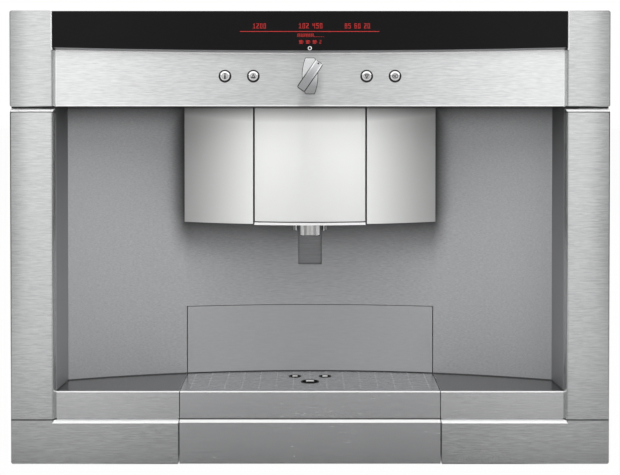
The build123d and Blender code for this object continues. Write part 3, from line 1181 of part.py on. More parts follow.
def cone_burr():
    """Turning inner burr with its carrier, on the motor's spindle."""
    burr = burr_cone(0)
    cutter = Box(FLUTE_DEPTH, FLUTE_WIDTH, 2 * BURR_HEIGHT)
    flute = Pos(BURR_RADIUS, 0, BURR_Z + BURR_HEIGHT / 2) * Rot(0, -FLUTE_ANGLE, 0) * cutter
    for i in range(BURR_FLUTES):
        burr -= Pos(HOPPER_X, HOPPER_Y, 0) * Rot(0, 0, i * 360 / BURR_FLUTES) * flute
    burr += rod_z(HOPPER_X, HOPPER_Y, BURR_Z - BURR_SHANK, BURR_Z, BURR_TOP_RADIUS)
    low, high = GRINDER_BOTTOM - SPINDLE_DEPTH + SHAFT_END_GAP, BURR_Z + BURR_HEIGHT + BURR_SHANK
    return burr + rod_z(HOPPER_X, HOPPER_Y, low, high, SPINDLE_RADIUS)


def brew_unit():
    """Body of the brewing unit, with the bore of the piston and the guide of its rod."""
    body = block(-BREW_HALF, BREW_HALF, BREW_Y - BREW_DEPTH / 2, BREW_BACK, BREW_BOTTOM, BREW_TOP)
    body = fillet(upright(body), BREW_CORNER)
    body -= rod_z(0, BREW_Y, BORE_BOTTOM, BIG, BREW_BORE)
    return body - rod_z(0, BREW_Y, 0, BIG, PISTON_ROD_RADIUS + SHAFT_CLEARANCE)


def brew_piston():
    """Piston that presses the coffee, with a groove for its seal, on its rod."""
    radius = BREW_BORE - PISTON_GAP
    piston = rod_z(0, BREW_Y, PISTON_Z, PISTON_Z + PISTON_HEIGHT, radius)
    seal_top = PISTON_Z + PISTON_HEIGHT - SEAL_DROP
    groove = rod_z(0, BREW_Y, seal_top - SEAL_HEIGHT, seal_top, BREW_BORE)
    groove -= rod_z(0, BREW_Y, 0, BIG, radius - SEAL_DEPTH)
    return piston - groove + rod_z(0, BREW_Y, BREW_BOTTOM + PISTON_ROD_INSET, PISTON_Z, PISTON_ROD_RADIUS)


def brew_drive():
    """Chassis of the brewing unit: a wall down to the base pan, two beams, and the gear motor."""
    chassis = block(-BREW_HALF, BREW_HALF, CHASSIS_Y, CHASSIS_Y + CHASSIS_WALL, CASE_FLOOR, BREW_TOP)
    for side in (-1, 1):
        x0, x1 = span(side, BREW_HALF - BEAM_WIDTH - BEAM_INSET, BREW_HALF - BEAM_INSET)
        chassis += block(x0, x1, BREW_Y - BEAM_REACH, CHASSIS_Y, BREW_BOTTOM - BEAM_HEIGHT, BREW_BOTTOM)
    return chassis + rod_y(0, BREW_TOP - DRIVE_DROP, BREW_BACK, CHASSIS_Y, DRIVE_RADIUS)


# ---------------------------------------------------------------- electrics
def power_board():
    """Power board upright on its posts inside the right side sheet, with a relay, a heat sink and a capacitor."""
    y0, y1, z0, z1 = POWER_BOARD_FRONT, POWER_BOARD_BACK, POWER_BOARD_BOTTOM, POWER_BOARD_TOP
    face = CASE_IN - POST_LENGTH
    root = face - CUT_OVER
    board = block(face - BOARD_THICKNESS, face, y0, y1, z0, z1)
    for y in (y0 + POST_INSET, y1 - POST_INSET):
        for z in (z0 + POST_INSET, z1 - POST_INSET):
            board += rod_x(y, z, root, CASE_IN, POST_RADIUS)
    relay_y, relay_z = y0 + RELAY_INSET, z0 + RELAY_INSET
    board += block(face - RELAY_DEPTH, root, relay_y, relay_y + RELAY_SIZE, relay_z, relay_z + RELAY_SIZE)
    sink_y, sink_z = y1 - SINK_INSET, z1 - SINK_INSET
    board += block(face - SINK_DEPTH, root, sink_y - SINK_LENGTH, sink_y, sink_z - SINK_HEIGHT, sink_z)
    capacitor_y, capacitor_z = y1 - CAPACITOR_INSET, z0 + CAPACITOR_INSET
    return board + rod_x(capacitor_y, capacitor_z, face - CAPACITOR_DEPTH, root, CAPACITOR_RADIUS)


def mains_inlet():
    """Appliance inlet with its three contacts, in one housing with the frame of the mains switch."""
    half, rise = INLET_WIDTH / 2 - FIT_GAP, INLET_HEIGHT / 2 - FIT_GAP
    body = block(INLET_X - half, INLET_X + half, CASE_BACK - INLET_DEPTH, CASE_BACK, INLET_Z - rise, INLET_Z + rise)
    wide, tall = half + INLET_FLANGE, rise + INLET_FLANGE
    body += block(INLET_X - wide, INLET_X + wide, CASE_BACK, INLET_BACK, INLET_Z - tall, INLET_Z + tall)
    mouth, floor_y = INLET_BACK + CUT_OVER, INLET_BACK - SOCKET_DEPTH
    wide, tall = SOCKET_WIDTH / 2, SOCKET_HEIGHT / 2
    body -= block(SOCKET_X - wide, SOCKET_X + wide, floor_y, mouth, INLET_Z - tall, INLET_Z + tall)
    wide, tall, tip = CONTACT_WIDTH / 2, CONTACT_HEIGHT / 2, INLET_BACK - CONTACT_SETBACK
    for x, z in ((-CONTACT_SPREAD, -CONTACT_STAGGER), (0, CONTACT_STAGGER), (CONTACT_SPREAD, -CONTACT_STAGGER)):
        contact = block(-wide, wide, floor_y - CUT_OVER, tip, -tall, tall)
        body += Pos(SOCKET_X + x, 0, INLET_Z + z) * contact
    wide, tall = ROCKER_WIDTH / 2 + ROCKER_GAP, ROCKER_HEIGHT / 2 + ROCKER_GAP
    floor_y = ROCKER_Y - tall - ROCKER_ROOM
    body -= block(ROCKER_X - wide, ROCKER_X + wide, floor_y, mouth, INLET_Z - tall, INLET_Z + tall)
    for side in (-1, 1):
        x0, x1 = span(side, wide - PIVOT_LENGTH, wide + PIVOT_ROOT)
        body += rod_x(ROCKER_Y, INLET_Z, ROCKER_X + x0, ROCKER_X + x1, PIVOT_RADIUS)
    return body


def mains_switch():
    """Rocker of the mains switch, tipped to its off side, with a pocket for a pivot at each end."""
    half, rise = ROCKER_WIDTH / 2, ROCKER_HEIGHT / 2
    back, front = rise - ROCKER_BACK_TAPER, rise - ROCKER_TAPER
    profile = [(-ROCKER_BACK, -back), (ROCKER_PROUD, -front), (ROCKER_DIP, 0), (ROCKER_PROUD, front),
               (-ROCKER_BACK, back)]
    rocker = prism_x(profile, -half, half)
    for x in sides(half):
        rocker -= rod_x(0, 0, x - PIVOT_POCKET, x + PIVOT_POCKET, PIVOT_RADIUS + SHAFT_CLEARANCE)
    return Pos(ROCKER_X, ROCKER_Y, INLET_Z) * Rot(-ROCKER_TILT, 0, 0) * rocker


# ---------------------------------------------------------------- the whole machine
def main():
    os.makedirs("parts", exist_ok=True)
    pieces = {
        "mounting_plate": mounting_plate(),
        "outer_rails": outer_rails(),
        "middle_rails": middle_rails(),
        "inner_rails": inner_rails(),
        "rail_balls": rail_balls(),
        "front_carrier": front_carrier(),
        "display_glass": display_glass(),
        "display_trim": display_trim(),
        "display_module": display_module(),
        "control_panel": control_panel(),
        "control_board": control_board(),
        "knob_base": knob_base(),
        "rotary_knob": rotary_knob(),
        "niche_liner": niche_liner(),
        "niche_ceiling": niche_ceiling(),
        "head_frame": head_frame(),
        "guide_rods": guide_rods(),
        "outlet_cover": outlet_cover(),
        "outlet_block": outlet_block(),
        "coffee_spout": coffee_spout(),
        "side_nozzles": side_nozzles(),
        "tray_front": tray_front(),
        "drip_pan": drip_pan(),
        "grounds_container": grounds_container(),
        "drip_plate": drip_plate(),
        "drain_rings": drain_rings(),
        "base_pan": base_pan(),
        "side_panel_left": side_panel_left(),
        "side_panel_right": side_panel_right(),
        "service_door": service_door(),
        "rear_panel": rear_panel(),
        "top_panel": top_panel(),
        "water_tank": water_tank(),
        "tank_dock": tank_dock(),
        "water_pump": water_pump(),
        "thermoblock": thermoblock(),
        "bean_hopper": bean_hopper(),
        "bean_lid": bean_lid(),
        "grinder": grinder(),
        "ring_burr": ring_burr(),
        "cone_burr": cone_burr(),
        "brew_unit": brew_unit(),
        "brew_piston": brew_piston(),
        "brew_drive": brew_drive(),
        "power_board": power_board(),
        "mains_inlet": mains_inlet(),
        "mains_switch": mains_switch(),
    }
    for name, left in {"end_cap": end_cap(), "frame": lower_frame(), "ledge": side_ledge(),
                       "head_cover": head_cover()}.items():
        pieces[name + "_left"] = left
        pieces[name + "_right"] = other_side(left)
    for name, x in BUTTON_XS.items():
        pieces[name] = button(x)
    for name, shape in pieces.items():
        save(shape, name)
    print(len(pieces), "pieces")


main()
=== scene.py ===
# %% [markdown]
# # A built-in coffee machine in brushed steel
#
# The machine is a steel front with a black display, a niche for cups, and a casing behind it that
# slides out of a kitchen cabinet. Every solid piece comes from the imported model, which fixes sizes
# and joints. This lesson adds what a drawing of solids can't hold: brushed grain, broken edges,
# printed marks, the lit display and the light of a studio.

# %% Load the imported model
import json
import math
from collections import namedtuple

import bmesh
import bpy
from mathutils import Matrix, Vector


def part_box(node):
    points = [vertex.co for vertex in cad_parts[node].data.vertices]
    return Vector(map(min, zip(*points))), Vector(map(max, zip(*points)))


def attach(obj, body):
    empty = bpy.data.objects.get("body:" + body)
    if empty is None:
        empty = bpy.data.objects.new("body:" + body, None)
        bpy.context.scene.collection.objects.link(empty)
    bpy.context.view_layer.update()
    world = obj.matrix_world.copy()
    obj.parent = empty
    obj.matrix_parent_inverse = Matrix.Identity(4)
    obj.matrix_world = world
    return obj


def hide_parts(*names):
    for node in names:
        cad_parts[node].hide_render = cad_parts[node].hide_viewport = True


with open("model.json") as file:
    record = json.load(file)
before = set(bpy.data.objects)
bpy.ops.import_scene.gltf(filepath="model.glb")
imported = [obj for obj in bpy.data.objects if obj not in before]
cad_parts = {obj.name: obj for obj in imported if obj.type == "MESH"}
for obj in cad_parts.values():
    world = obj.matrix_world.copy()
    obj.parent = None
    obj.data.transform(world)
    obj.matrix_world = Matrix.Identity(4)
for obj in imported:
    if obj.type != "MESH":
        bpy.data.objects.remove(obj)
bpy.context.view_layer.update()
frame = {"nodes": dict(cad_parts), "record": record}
MM = 0.001
for plain in list(bpy.data.materials):
    bpy.data.materials.remove(plain)

# %% [markdown]
# ## Where the camera stands
#
# The photograph looks straight at the front, a little below its top edge, so the lines of the front
# stay square and only the niche shows depth. Tilting the camera down would make those lines lean.
# A view camera slides its lens instead, and Blender's lens shift does the same. The other views keep
# that shift, so a tilt too small to be seen takes part of it over.

# %% Camera
EYE_HEIGHT = 0.3647
FRONT_Y = -0.245
CAMERA_DISTANCE = 1.4
FOCAL_LENGTH = 82.11
SLIDE_DOWN = -0.1858
TILT_DOWN = 1.0

camera_data = bpy.data.cameras.new("camera")
camera_data.sensor_fit = "HORIZONTAL"
camera_data.sensor_width = 36.0
camera_data.lens = FOCAL_LENGTH
camera_data.shift_y = SLIDE_DOWN
camera = bpy.data.objects.new("camera", camera_data)
camera.location = (0.0, FRONT_Y - CAMERA_DISTANCE, EYE_HEIGHT)
camera.rotation_euler = (math.radians(90 - TILT_DOWN), 0.0, 0.0)
bpy.context.scene.collection.objects.link(camera)
bpy.context.scene.camera = camera
bpy.context.scene.view_settings.view_transform = "Standard"
print("camera", tuple(round(v, 3) for v in camera.location), "lens", camera_data.lens)

# %% [markdown]
# ## Shader maths as plain Python
#
# Grain, print and dust are sums and products of patterns. Wiring each Math node by hand hides the
# formula, so a small class wraps an output socket: adding two wires adds the node that adds them.
# A second class holds one node tree and has one method that makes any other node.

# %% A wire that can be added and multiplied
def joined(operation):
    """A method that joins a wire and another value by one Math node."""
    return lambda wire, other: wire.tree.maths(operation, wire, other)


class Wire:
    """An output socket of a node tree, for use in Python expressions on values."""

    __add__ = __radd__ = joined("ADD")
    __mul__ = __rmul__ = joined("MULTIPLY")
    __sub__ = joined("SUBTRACT")
    __truediv__ = joined("DIVIDE")
    __lt__ = joined("LESS_THAN")
    __gt__ = joined("GREATER_THAN")

    def __init__(self, tree, socket):
        self.tree = tree
        self.socket = socket

    def __rsub__(self, other):
        return self.tree.maths("SUBTRACT", other, self)

    def __abs__(self):
        return self.tree.maths("ABSOLUTE", self)


# %% A node tree that is filled from Python
class Tree:
    """A node tree in the making, with the shader that its output shows."""

    def __init__(self, owner, shader, output):
        owner.use_nodes = True
        self.owner = owner
        self.nodes = owner.node_tree.nodes
        self.links = owner.node_tree.links
        self.nodes.clear()
        self.shader = self.nodes.new(shader)
        self.links.new(self.shader.outputs[0], self.nodes.new(output).inputs[0])

    def fill(self, node, sockets):
        """Sets or links sockets of a node, by name or by number."""
        for key, value in sockets.items():
            if isinstance(value, Wire):
                self.links.new(value.socket, node.inputs[key])
            else:
                node.inputs[key].default_value = value

    def node(self, kind, settings, sockets, out=0):
        """Makes one node: first its settings, then the values or links of its sockets."""
        made = self.nodes.new(kind)
        for key, value in settings.items():
            if key == "stops":
                ramp = made.color_ramp.elements
                while len(ramp) < len(value):
                    ramp.new(0.5)
                for stop, (place, shade) in zip(ramp, value):
                    stop.position = place
                    stop.color = (shade, shade, shade, 1.0)
            else:
                setattr(made, key, value)
        self.fill(made, sockets)
        return Wire(self, made.outputs[out])

    def maths(self, operation, *values):
        """A Math node on one or two values."""
        return self.node("ShaderNodeMath", {"operation": operation}, dict(enumerate(values)))

    def stretched(self, scale):
        """The point on the piece, in millimetres, multiplied along each axis."""
        place = self.node("ShaderNodeTexCoord", {}, {}, out="Object")
        factors = tuple(value / MM for value in scale)
        return self.node("ShaderNodeVectorMath", {"operation": "MULTIPLY"}, {0: place, 1: factors})

    def split(self, vector):
        """The three values of a vector."""
        made = self.nodes.new("ShaderNodeSeparateXYZ")
        self.fill(made, {0: vector})
        return [Wire(self, socket) for socket in made.outputs]

    def axes(self):
        """The three coordinates of the point on the piece, in millimetres."""
        return self.split(self.stretched((1.0, 1.0, 1.0)))

    def noise(self, scale, detail=3.0):
        """Soft noise from about -1 to 1, with its grain per millimetre along each axis."""
        sockets = {"Vector": self.stretched(scale), "Scale": 1.0, "Detail": detail}
        return (self.node("ShaderNodeTexNoise", {}, sockets) - 0.5) * 4.0

    def shaded(self, colour, tone):
        """A colour made lighter or darker by a value."""
        return self.node("ShaderNodeVectorMath", {"operation": "SCALE"}, {0: colour, "Scale": tone})

    def mixed(self, share, first, second):
        """A colour between two others."""
        settings = {"data_type": "RGBA"}
        return self.node("ShaderNodeMix", settings, {0: share, 6: first, 7: second}, out=2)

    def bumped(self, height, depth):
        """A normal tilted by a height from 0 to 1, for a real depth in millimetres."""
        return self.node("ShaderNodeBump", {}, {"Height": height, "Distance": depth * MM, "Strength": 1.0})


def new_finish(name, **sockets):
    """A material on the principled shader with the given socket values."""
    tree = Tree(bpy.data.materials.new(name), "ShaderNodeBsdfPrincipled", "ShaderNodeOutputMaterial")
    tree.fill(tree.shader, {key.replace("_", " "): value for key, value in sockets.items()})
    return tree


print("shader helpers ready")

# %% [markdown]
# ## The studio
#
# Steel has hardly any colour of its own: it shows what stands round it. A photographer puts the
# machine in a white room, hangs a large card in front of it that is bright above and greyer below,
# and lays a grey card on the floor, so that the front runs from light to dark. The cards here do the
# same. They are seen only in reflections. Above the camera hangs a narrow, tall lamp: what stands
# out of the front throws a shadow straight down, with clean sides and a soft end.

# %% White room and floor
WHITE = (1.0, 1.0, 1.0, 1.0)
ROOM_LIGHT = 0.25
FLOOR_SIZE = 30.0
FLOOR_GLOW = 0.97
MATT_PAPER = (0.9, 0.9, 0.9, 1.0)


def seen_directly(tree):
    """1 where the camera, a mirror or clear plastic looks at a surface, 0 for the light it sends out."""
    path = tree.nodes.new("ShaderNodeLightPath")
    rays = [Wire(tree, path.outputs[f"Is {kind} Ray"]) for kind in ("Camera", "Glossy", "Transmission")]
    return tree.maths("MINIMUM", rays[0] + rays[1] + rays[2], 1.0)


world = bpy.data.worlds.new("room")
bpy.context.scene.world = world
room = Tree(world, "ShaderNodeBackground", "ShaderNodeOutputWorld")
room.fill(room.shader, {"Color": WHITE, "Strength": seen_directly(room) * (1.0 - ROOM_LIGHT) + ROOM_LIGHT})


def stage_mesh(name, points, faces, tree):
    """A mesh that belongs to the studio and not to the machine."""
    mesh = bpy.data.meshes.new(name)
    mesh.from_pydata(points, [], faces)
    mesh.materials.append(tree.owner)
    made = bpy.data.objects.new(name, mesh)
    bpy.context.scene.collection.objects.link(made)
    return made


floor_finish = Tree(bpy.data.materials.new("floor"), "ShaderNodeMixShader", "ShaderNodeOutputMaterial")
matt = floor_finish.node("ShaderNodeBsdfDiffuse", {}, {"Color": MATT_PAPER})
glow = floor_finish.node("ShaderNodeEmission", {}, {"Color": WHITE, "Strength": 1.0})
floor_finish.fill(floor_finish.shader, {0: seen_directly(floor_finish) * FLOOR_GLOW, 1: matt, 2: glow})
corner = FLOOR_SIZE / 2
floor_points = [(-corner, -corner, 0), (corner, -corner, 0), (corner, corner, 0), (-corner, corner, 0)]
stage_mesh("floor", floor_points, [(0, 1, 2, 3)], floor_finish)
print("floor", FLOOR_SIZE, "m wide, room light", ROOM_LIGHT)

# %% Reflection cards
CARD_RADIUS = 2.755
CARD_HEIGHT = 2.4
CARD_STEPS = 60
CARD_REACH = 125.0
FLAG_LIFT = 0.0005
BY_HEIGHT = [(0.0, 0.84), (0.06, 0.92), (0.13, 1.0), (1.0, 1.0)]
BY_ANGLE = [(0, 0.70), (6, 0.74), (9, 0.82), (13, 1.0), (30, 0.95), (40, 0.62), (55, 0.26), (70, 0.08),
            (CARD_REACH, 0.05)]
BY_DISTANCE = [(0.0, 0.24), (0.017, 0.31), (0.045, 0.38), (0.1, 0.45), (0.22, 0.65), (0.6, 0.80), (1.0, 0.84)]
LEFT_GAIN = 0.12


def card_finish(name, strength):
    """A glowing card whose strength is worked out from the point on it."""
    tree = Tree(bpy.data.materials.new(name), "ShaderNodeEmission", "ShaderNodeOutputMaterial")
    tree.fill(tree.shader, {"Color": WHITE, "Strength": strength(tree)})
    return tree


def by_side(tree, angle):
    """The strength of a card at an angle to the left or right of the machine, in degrees."""
    share = abs(angle) / CARD_REACH
    ramp = tree.node("ShaderNodeValToRGB", {"stops": [(a / CARD_REACH, v) for a, v in BY_ANGLE]}, {0: share})
    return ramp * (1.0 - angle * (LEFT_GAIN / math.degrees(1.0)))


def wall_strength(tree):
    """Brighter with height, and darker far to the sides."""
    x, y, z = tree.axes()
    by_height = tree.node("ShaderNodeValToRGB", {"stops": BY_HEIGHT}, {0: z / (CARD_HEIGHT / MM)})
    angle = tree.maths("ARCTAN2", x, FRONT_Y / MM - y) * math.degrees(1.0)
    return by_height * by_side(tree, angle)


def flag_strength(tree):
    """Darkest next to the machine, lighter with distance, and with the same bands as the wall card."""
    x, y, _ = tree.axes()
    away = FRONT_Y / MM - y
    ramp = tree.node("ShaderNodeValToRGB", {"stops": BY_DISTANCE}, {0: away / (CARD_RADIUS / MM)})
    mirrored = x / (away / (CAMERA_DISTANCE / MM) + 1.0)
    angle = mirrored * (math.degrees(1.0) * (1 + CARD_RADIUS / CAMERA_DISTANCE) / (CARD_RADIUS / MM))
    return ramp * by_side(tree, angle)


rim = [(CARD_RADIUS * math.sin(a), FRONT_Y - CARD_RADIUS * math.cos(a))
       for a in (math.radians(CARD_REACH) * (2 * i / CARD_STEPS - 1) for i in range(CARD_STEPS + 1))]
wall_points = [(x, y, z) for x, y in rim for z in (0.0, CARD_HEIGHT)]
wall_faces = [(2 * i, 2 * i + 2, 2 * i + 3, 2 * i + 1) for i in range(CARD_STEPS)]
wall_card = stage_mesh("wall_card", wall_points, wall_faces, card_finish("wall_card", wall_strength))
flag_ends = [(CARD_RADIUS, FRONT_Y, FLAG_LIFT), (-CARD_RADIUS, FRONT_Y, FLAG_LIFT)]
flag_points = [(x, y, FLAG_LIFT) for x, y in rim if y <= FRONT_Y] + flag_ends
flag_card = stage_mesh("floor_card", flag_points, [tuple(range(len(flag_points)))],
                       card_finish("floor_card", flag_strength))
for card in (wall_card, flag_card):
    for rays in ("camera", "diffuse", "transmission", "volume_scatter", "shadow"):
        setattr(card, "visible_" + rays, False)
print("cards", [round(v, 2) for v in wall_card.dimensions], [round(v, 2) for v in flag_card.dimensions])

# %% Lamps
LAMPS = {
    "strip": ((0.0, -2.0, 2.3), 0.3, 1.9, 52.0),
    "fill": ((1.2, -2.7, 1.0), 1.2, 1.2, 12.0),
    "back": ((0.6, 2.2, 1.8), 1.6, 1.6, 26.0),
}
TARGET = Vector((0.0, FRONT_Y, 0.22))

for name, (spot, width, height, power) in LAMPS.items():
    lamp_data = bpy.data.lights.new(name, "AREA")
    lamp_data.shape = "RECTANGLE"
    lamp_data.size = width
    lamp_data.size_y = height
    lamp_data.energy = power
    lamp = bpy.data.objects.new(name, lamp_data)
    lamp.location = spot
    lamp.rotation_mode = "QUATERNION"
    lamp.rotation_quaternion = (TARGET - Vector(spot)).to_track_quat("-Z", "Y")
    lamp.visible_glossy = False
    bpy.context.scene.collection.objects.link(lamp)
print("lamps", list(LAMPS))

# %% [markdown]
# ## Brushed steel
#
# An abrasive belt leaves thousands of parallel scratches. Close up they are grooves, from a step
# away only short streaks a little lighter or darker than the sheet. Modelling grooves would take
# millions of faces. Noise that is stretched ten to seventy times along the belt's path gives the
# streaks, and the same noise drives the shine and a very shallow relief, so all three agree. Masks,
# values from 0 to 1 worked out from the place on a piece, set where the steel gets painted
# highlights and painted shade, and where its joints are dark.

# %% Heights and edges of the front
Corner = namedtuple("Corner", "x y z")


def box_mm(node):
    """The lowest and the highest corner of a solid, in millimetres."""
    return [Corner(*(value / MM for value in corner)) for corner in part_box(node)]


RAIL_HEIGHT = 44.5
CHAMFER = 3.6

face_y = FRONT_Y / MM
floor_top = box_mm("ledge_left")[1].z
pillar_top = box_mm("frame_left")[1].z
rail_top = box_mm("frame_left")[0].z + RAIL_HEIGHT
front_side = box_mm("frame_right")[1].x
cap_bottom = box_mm("end_cap_left")[0].z
panel_side = box_mm("control_panel")[1].x
panel_top = box_mm("control_panel")[1].z
glass_side = box_mm("display_glass")[1].x
head_side = box_mm("head_cover_right")[1].x
head_low = box_mm("head_cover_right")[0].z
chamfer_foot = (pillar_top - CHAMFER - 0.3, pillar_top - CHAMFER + 0.6)
rail_seam = (rail_top - 0.7, rail_top + 0.5)
panel_foot = (cap_bottom + 0.6, cap_bottom + 2.0)
print("niche floor at", round(floor_top, 1), "mm, panel up to", round(panel_top, 1), "mm")


# %% Mask helpers
def facing(tree):
    """The direction that the surface faces, as three values."""
    return tree.split(tree.node("ShaderNodeTexCoord", {}, {}, out="Normal"))


def inside(value, low, high):
    """1 where a value lies between two others."""
    return (value > low) * (value < high)


def rise(tree, value, low, high):
    """0 up to one value, 1 from another on, and a straight rise between them."""
    return tree.maths("MINIMUM", tree.maths("MAXIMUM", (value - low) / (high - low), 0.0), 1.0)


def strongest(tree, *masks):
    """The highest of several masks."""
    highest = masks[0]
    for mask in masks[1:]:
        highest = tree.maths("MAXIMUM", highest, mask)
    return highest


print("mask helpers ready")

# %% Shapes of the front
CROWN_START = 264.0
CROWN_SLOPE = 0.26
NICHE_RADIUS = 640.0
NICHE_BACK = face_y + 110.0


def crowned(tree):
    """How far the front drops back towards its left and right edge, in millimetres."""
    past = tree.maths("MAXIMUM", abs(tree.axes()[0]) - CROWN_START, 0.0)
    return past * past * (CROWN_SLOPE / 2 / (front_side - CROWN_START))


def behind_wall(tree):
    """How far a point lies behind the curved back wall of the niche, in millimetres."""
    x, y, _ = tree.axes()
    return y - tree.maths("SQRT", NICHE_RADIUS ** 2 - x * x) + (NICHE_RADIUS - NICHE_BACK)


print("back wall", NICHE_BACK - face_y, "mm deep in the middle")

# %% Where the front is bright or dark
EDGE_SHINE = 1.3
EDGE_REACH = 1.6
SLOPING = (0.3, 0.95)
LEVEL = 0.9
OUTWARD = 0.4
FORWARD = 0.3
HAIR = 0.1
FLOOR_JOINT = 1.0


def bevel_painted_highlight(tree):
    """Painted highlight, in white, on the bevel over the bottom rail and the chamfer on top of the pillar."""
    z = tree.axes()[2]
    on_pillar = inside(z, chamfer_foot[1], pillar_top + HAIR)
    return inside(facing(tree)[2], *SLOPING) * strongest(tree, z < rail_seam[0], on_pillar)


def front_painted_highlights(tree):
    """Painted highlights on the frame's bevels, and a bright line on each cap's edge beside the display."""
    x, _, z = tree.axes()
    beside_glass = inside(abs(x), glass_side, glass_side + EDGE_SHINE) * (z > panel_top)
    return strongest(tree, bevel_painted_highlight(tree), beside_glass)


def fold_painted_highlight(tree):
    """Painted highlight along the front edge of the niche floor."""
    return inside(tree.axes()[2], floor_top - EDGE_SHINE, floor_top + FLOOR_JOINT) * (facing(tree)[2] < LEVEL)


def tray_painted_highlights(tree):
    """Both painted highlights of the tray front."""
    return strongest(tree, bevel_painted_highlight(tree), fold_painted_highlight(tree))


def outline(tree):
    """Painted shade on the broken edges along the outside of the front, and under its seams."""
    x, y, z = tree.axes()
    side, front, up = facing(tree)
    outer = strongest(tree, x * side > abs(x) * OUTWARD, up < -OUTWARD)
    seam = inside(z, *chamfer_foot) + inside(z, *rail_seam)
    return strongest(tree, (y < face_y + EDGE_REACH) * outer, seam * (front < -FORWARD))


def tread(tree):
    """The flat top of a ledge or plate."""
    return facing(tree)[2] > LEVEL


print("bright lines", EDGE_SHINE, "mm wide")

# %% Where the panel is bright or dark
PANEL_SAG = 3.2
PANEL_DEPTH = 7.0
SIDE_LINE = 0.9
FAINT = 0.5
# The panel gets painted shade towards its middle, up to this far from it.
MIDDLE_SHADE_REACH = 215.0
MIDDLE_SHADE_FADE = 160.0
MIDDLE_SHADE = 0.25


def panel_painted_highlights(tree):
    """Painted highlights on the panel's upper edge, and fainter ones at its sides and its foot."""
    x, y, z = tree.axes()
    bow = x / panel_side
    edge = z > bow * bow * PANEL_SAG + (panel_top - PANEL_SAG - EDGE_SHINE)
    faint = strongest(tree, abs(x) > panel_side - SIDE_LINE, inside(z, *panel_foot))
    return strongest(tree, edge, faint * FAINT) * (y < face_y + PANEL_DEPTH)


def panel_painted_shade(tree):
    """Painted shade: a dark line along the panel's foot, and the panel darker towards its middle."""
    x, _, z = tree.axes()
    shaded_middle = rise(tree, MIDDLE_SHADE_REACH - abs(x), 0.0, MIDDLE_SHADE_FADE)
    return strongest(tree, z < panel_foot[0], shaded_middle * MIDDLE_SHADE)


print("touched up to", MIDDLE_SHADE_REACH, "mm from the middle")

# %% Where the niche is dark
TOP_SHADE_LINE = 2.4
CEILING_SHADE = 30.0
HEAD_SHADE = 48.0
HEAD_INSET = (2.0, 4.0)
HEAD_NARROWING = 2.5
GROOVE_FROM = 0.8
GROOVE_SHADE = 0.45
WALL_LOW = 0.33
WALL_RISE = 0.62
SIDEWAYS = 0.7


def niche_shade(tree):
    """Painted shade in the groove, under the ceiling and the head, up the side walls; a dark floor joint."""
    x, _, z = tree.axes()
    groove = (behind_wall(tree) > GROOVE_FROM) * GROOVE_SHADE
    # The joint at the floor is dark; the line under the panel is painted shade.
    joint = strongest(tree, z < floor_top + FLOOR_JOINT, z > cap_bottom - TOP_SHADE_LINE)
    ceiling = rise(tree, z, cap_bottom - CEILING_SHADE, cap_bottom)
    height = rise(tree, z, floor_top, cap_bottom)
    wall_shade = height * (height * WALL_RISE + WALL_LOW) * (abs(facing(tree)[0]) > SIDEWAYS)
    beside = tree.maths("MAXIMUM", abs(x) - head_side + HEAD_INSET[0], 0.0) * HEAD_NARROWING
    below = tree.maths("MAXIMUM", head_low - HEAD_INSET[1] - z, 0.0)
    away = tree.maths("SQRT", beside * beside + below * below)
    near_head = rise(tree, HEAD_SHADE - away, 0.0, HEAD_SHADE)
    return strongest(tree, groove, joint, ceiling * ceiling, wall_shade, near_head * near_head)


# Painted shade reaches this far below the head.
print("film reaches", HEAD_SHADE, "mm below the head")

# %% Brushed finish
# White for painted highlights.
PAINTED_HIGHLIGHT = (0.97, 0.97, 0.97, 1.0)
STREAKS = (0.12, 1.3, 1.3)
SCRATCHES = (0.03, 2.2, 2.2)
CLOUDS = (0.010, 0.014, 0.014)
GROOVE_DEPTH = 0.004
FINE_GROOVE = 0.0012


def metal(tree, colour, tone, height, roughness, metallic, bright=None, dark=None, shade=0.8, bow=None):
    """Fills a metal finish: painted highlights, darker places for painted shade or joints, a bowed face."""
    if dark:
        tone = tone * (1.0 - dark(tree) * shade)
    paint = tree.shaded(colour, tone)
    if bright:
        lines = bright(tree)
        paint = tree.mixed(lines, paint, PAINTED_HIGHLIGHT)
        metallic = (1.0 - lines) * metallic
    if bow:
        height = height - bow(tree)
    tree.fill(tree.shader, {"Base Color": paint, "Metallic": metallic, "Roughness": roughness,
                            "Normal": tree.bumped(height, 1.0)})
    return tree


def brushed(name, colour, roughness, contrast, metallic=0.88, depth=GROOVE_DEPTH, **masks):
    """Metal brushed from side to side."""
    tree = new_finish(name)
    grain = tree.noise(STREAKS, detail=3.0) * 0.6 + tree.noise(SCRATCHES, detail=2.0) * 0.4
    clouds = tree.noise(CLOUDS, detail=2.0)
    return metal(tree, colour, grain * contrast + clouds * 0.012 + 1.0, grain * depth,
                 grain * 0.04 + clouds * 0.01 + roughness, metallic, **masks)


FRONT_STEEL = (0.68, 0.69, 0.69)
PANEL_STEEL = (0.78, 0.79, 0.79)
LEDGE_STEEL = (0.72, 0.725, 0.73)
TRAY_STEEL = (0.62, 0.625, 0.635)
# The niche's steel is a darker copy of the front's steel: painted shade inside the niche.
SHADED_NICHE_STEEL = (0.405, 0.41, 0.42)

brushed_front = brushed("brushed_front", FRONT_STEEL, 0.19, 0.22, bright=front_painted_highlights, dark=outline,
                        shade=0.95, bow=crowned)
brushed_panel = brushed("brushed_panel", PANEL_STEEL, 0.19, 0.24, metallic=0.5, bright=panel_painted_highlights,
                        dark=panel_painted_shade, shade=0.97)
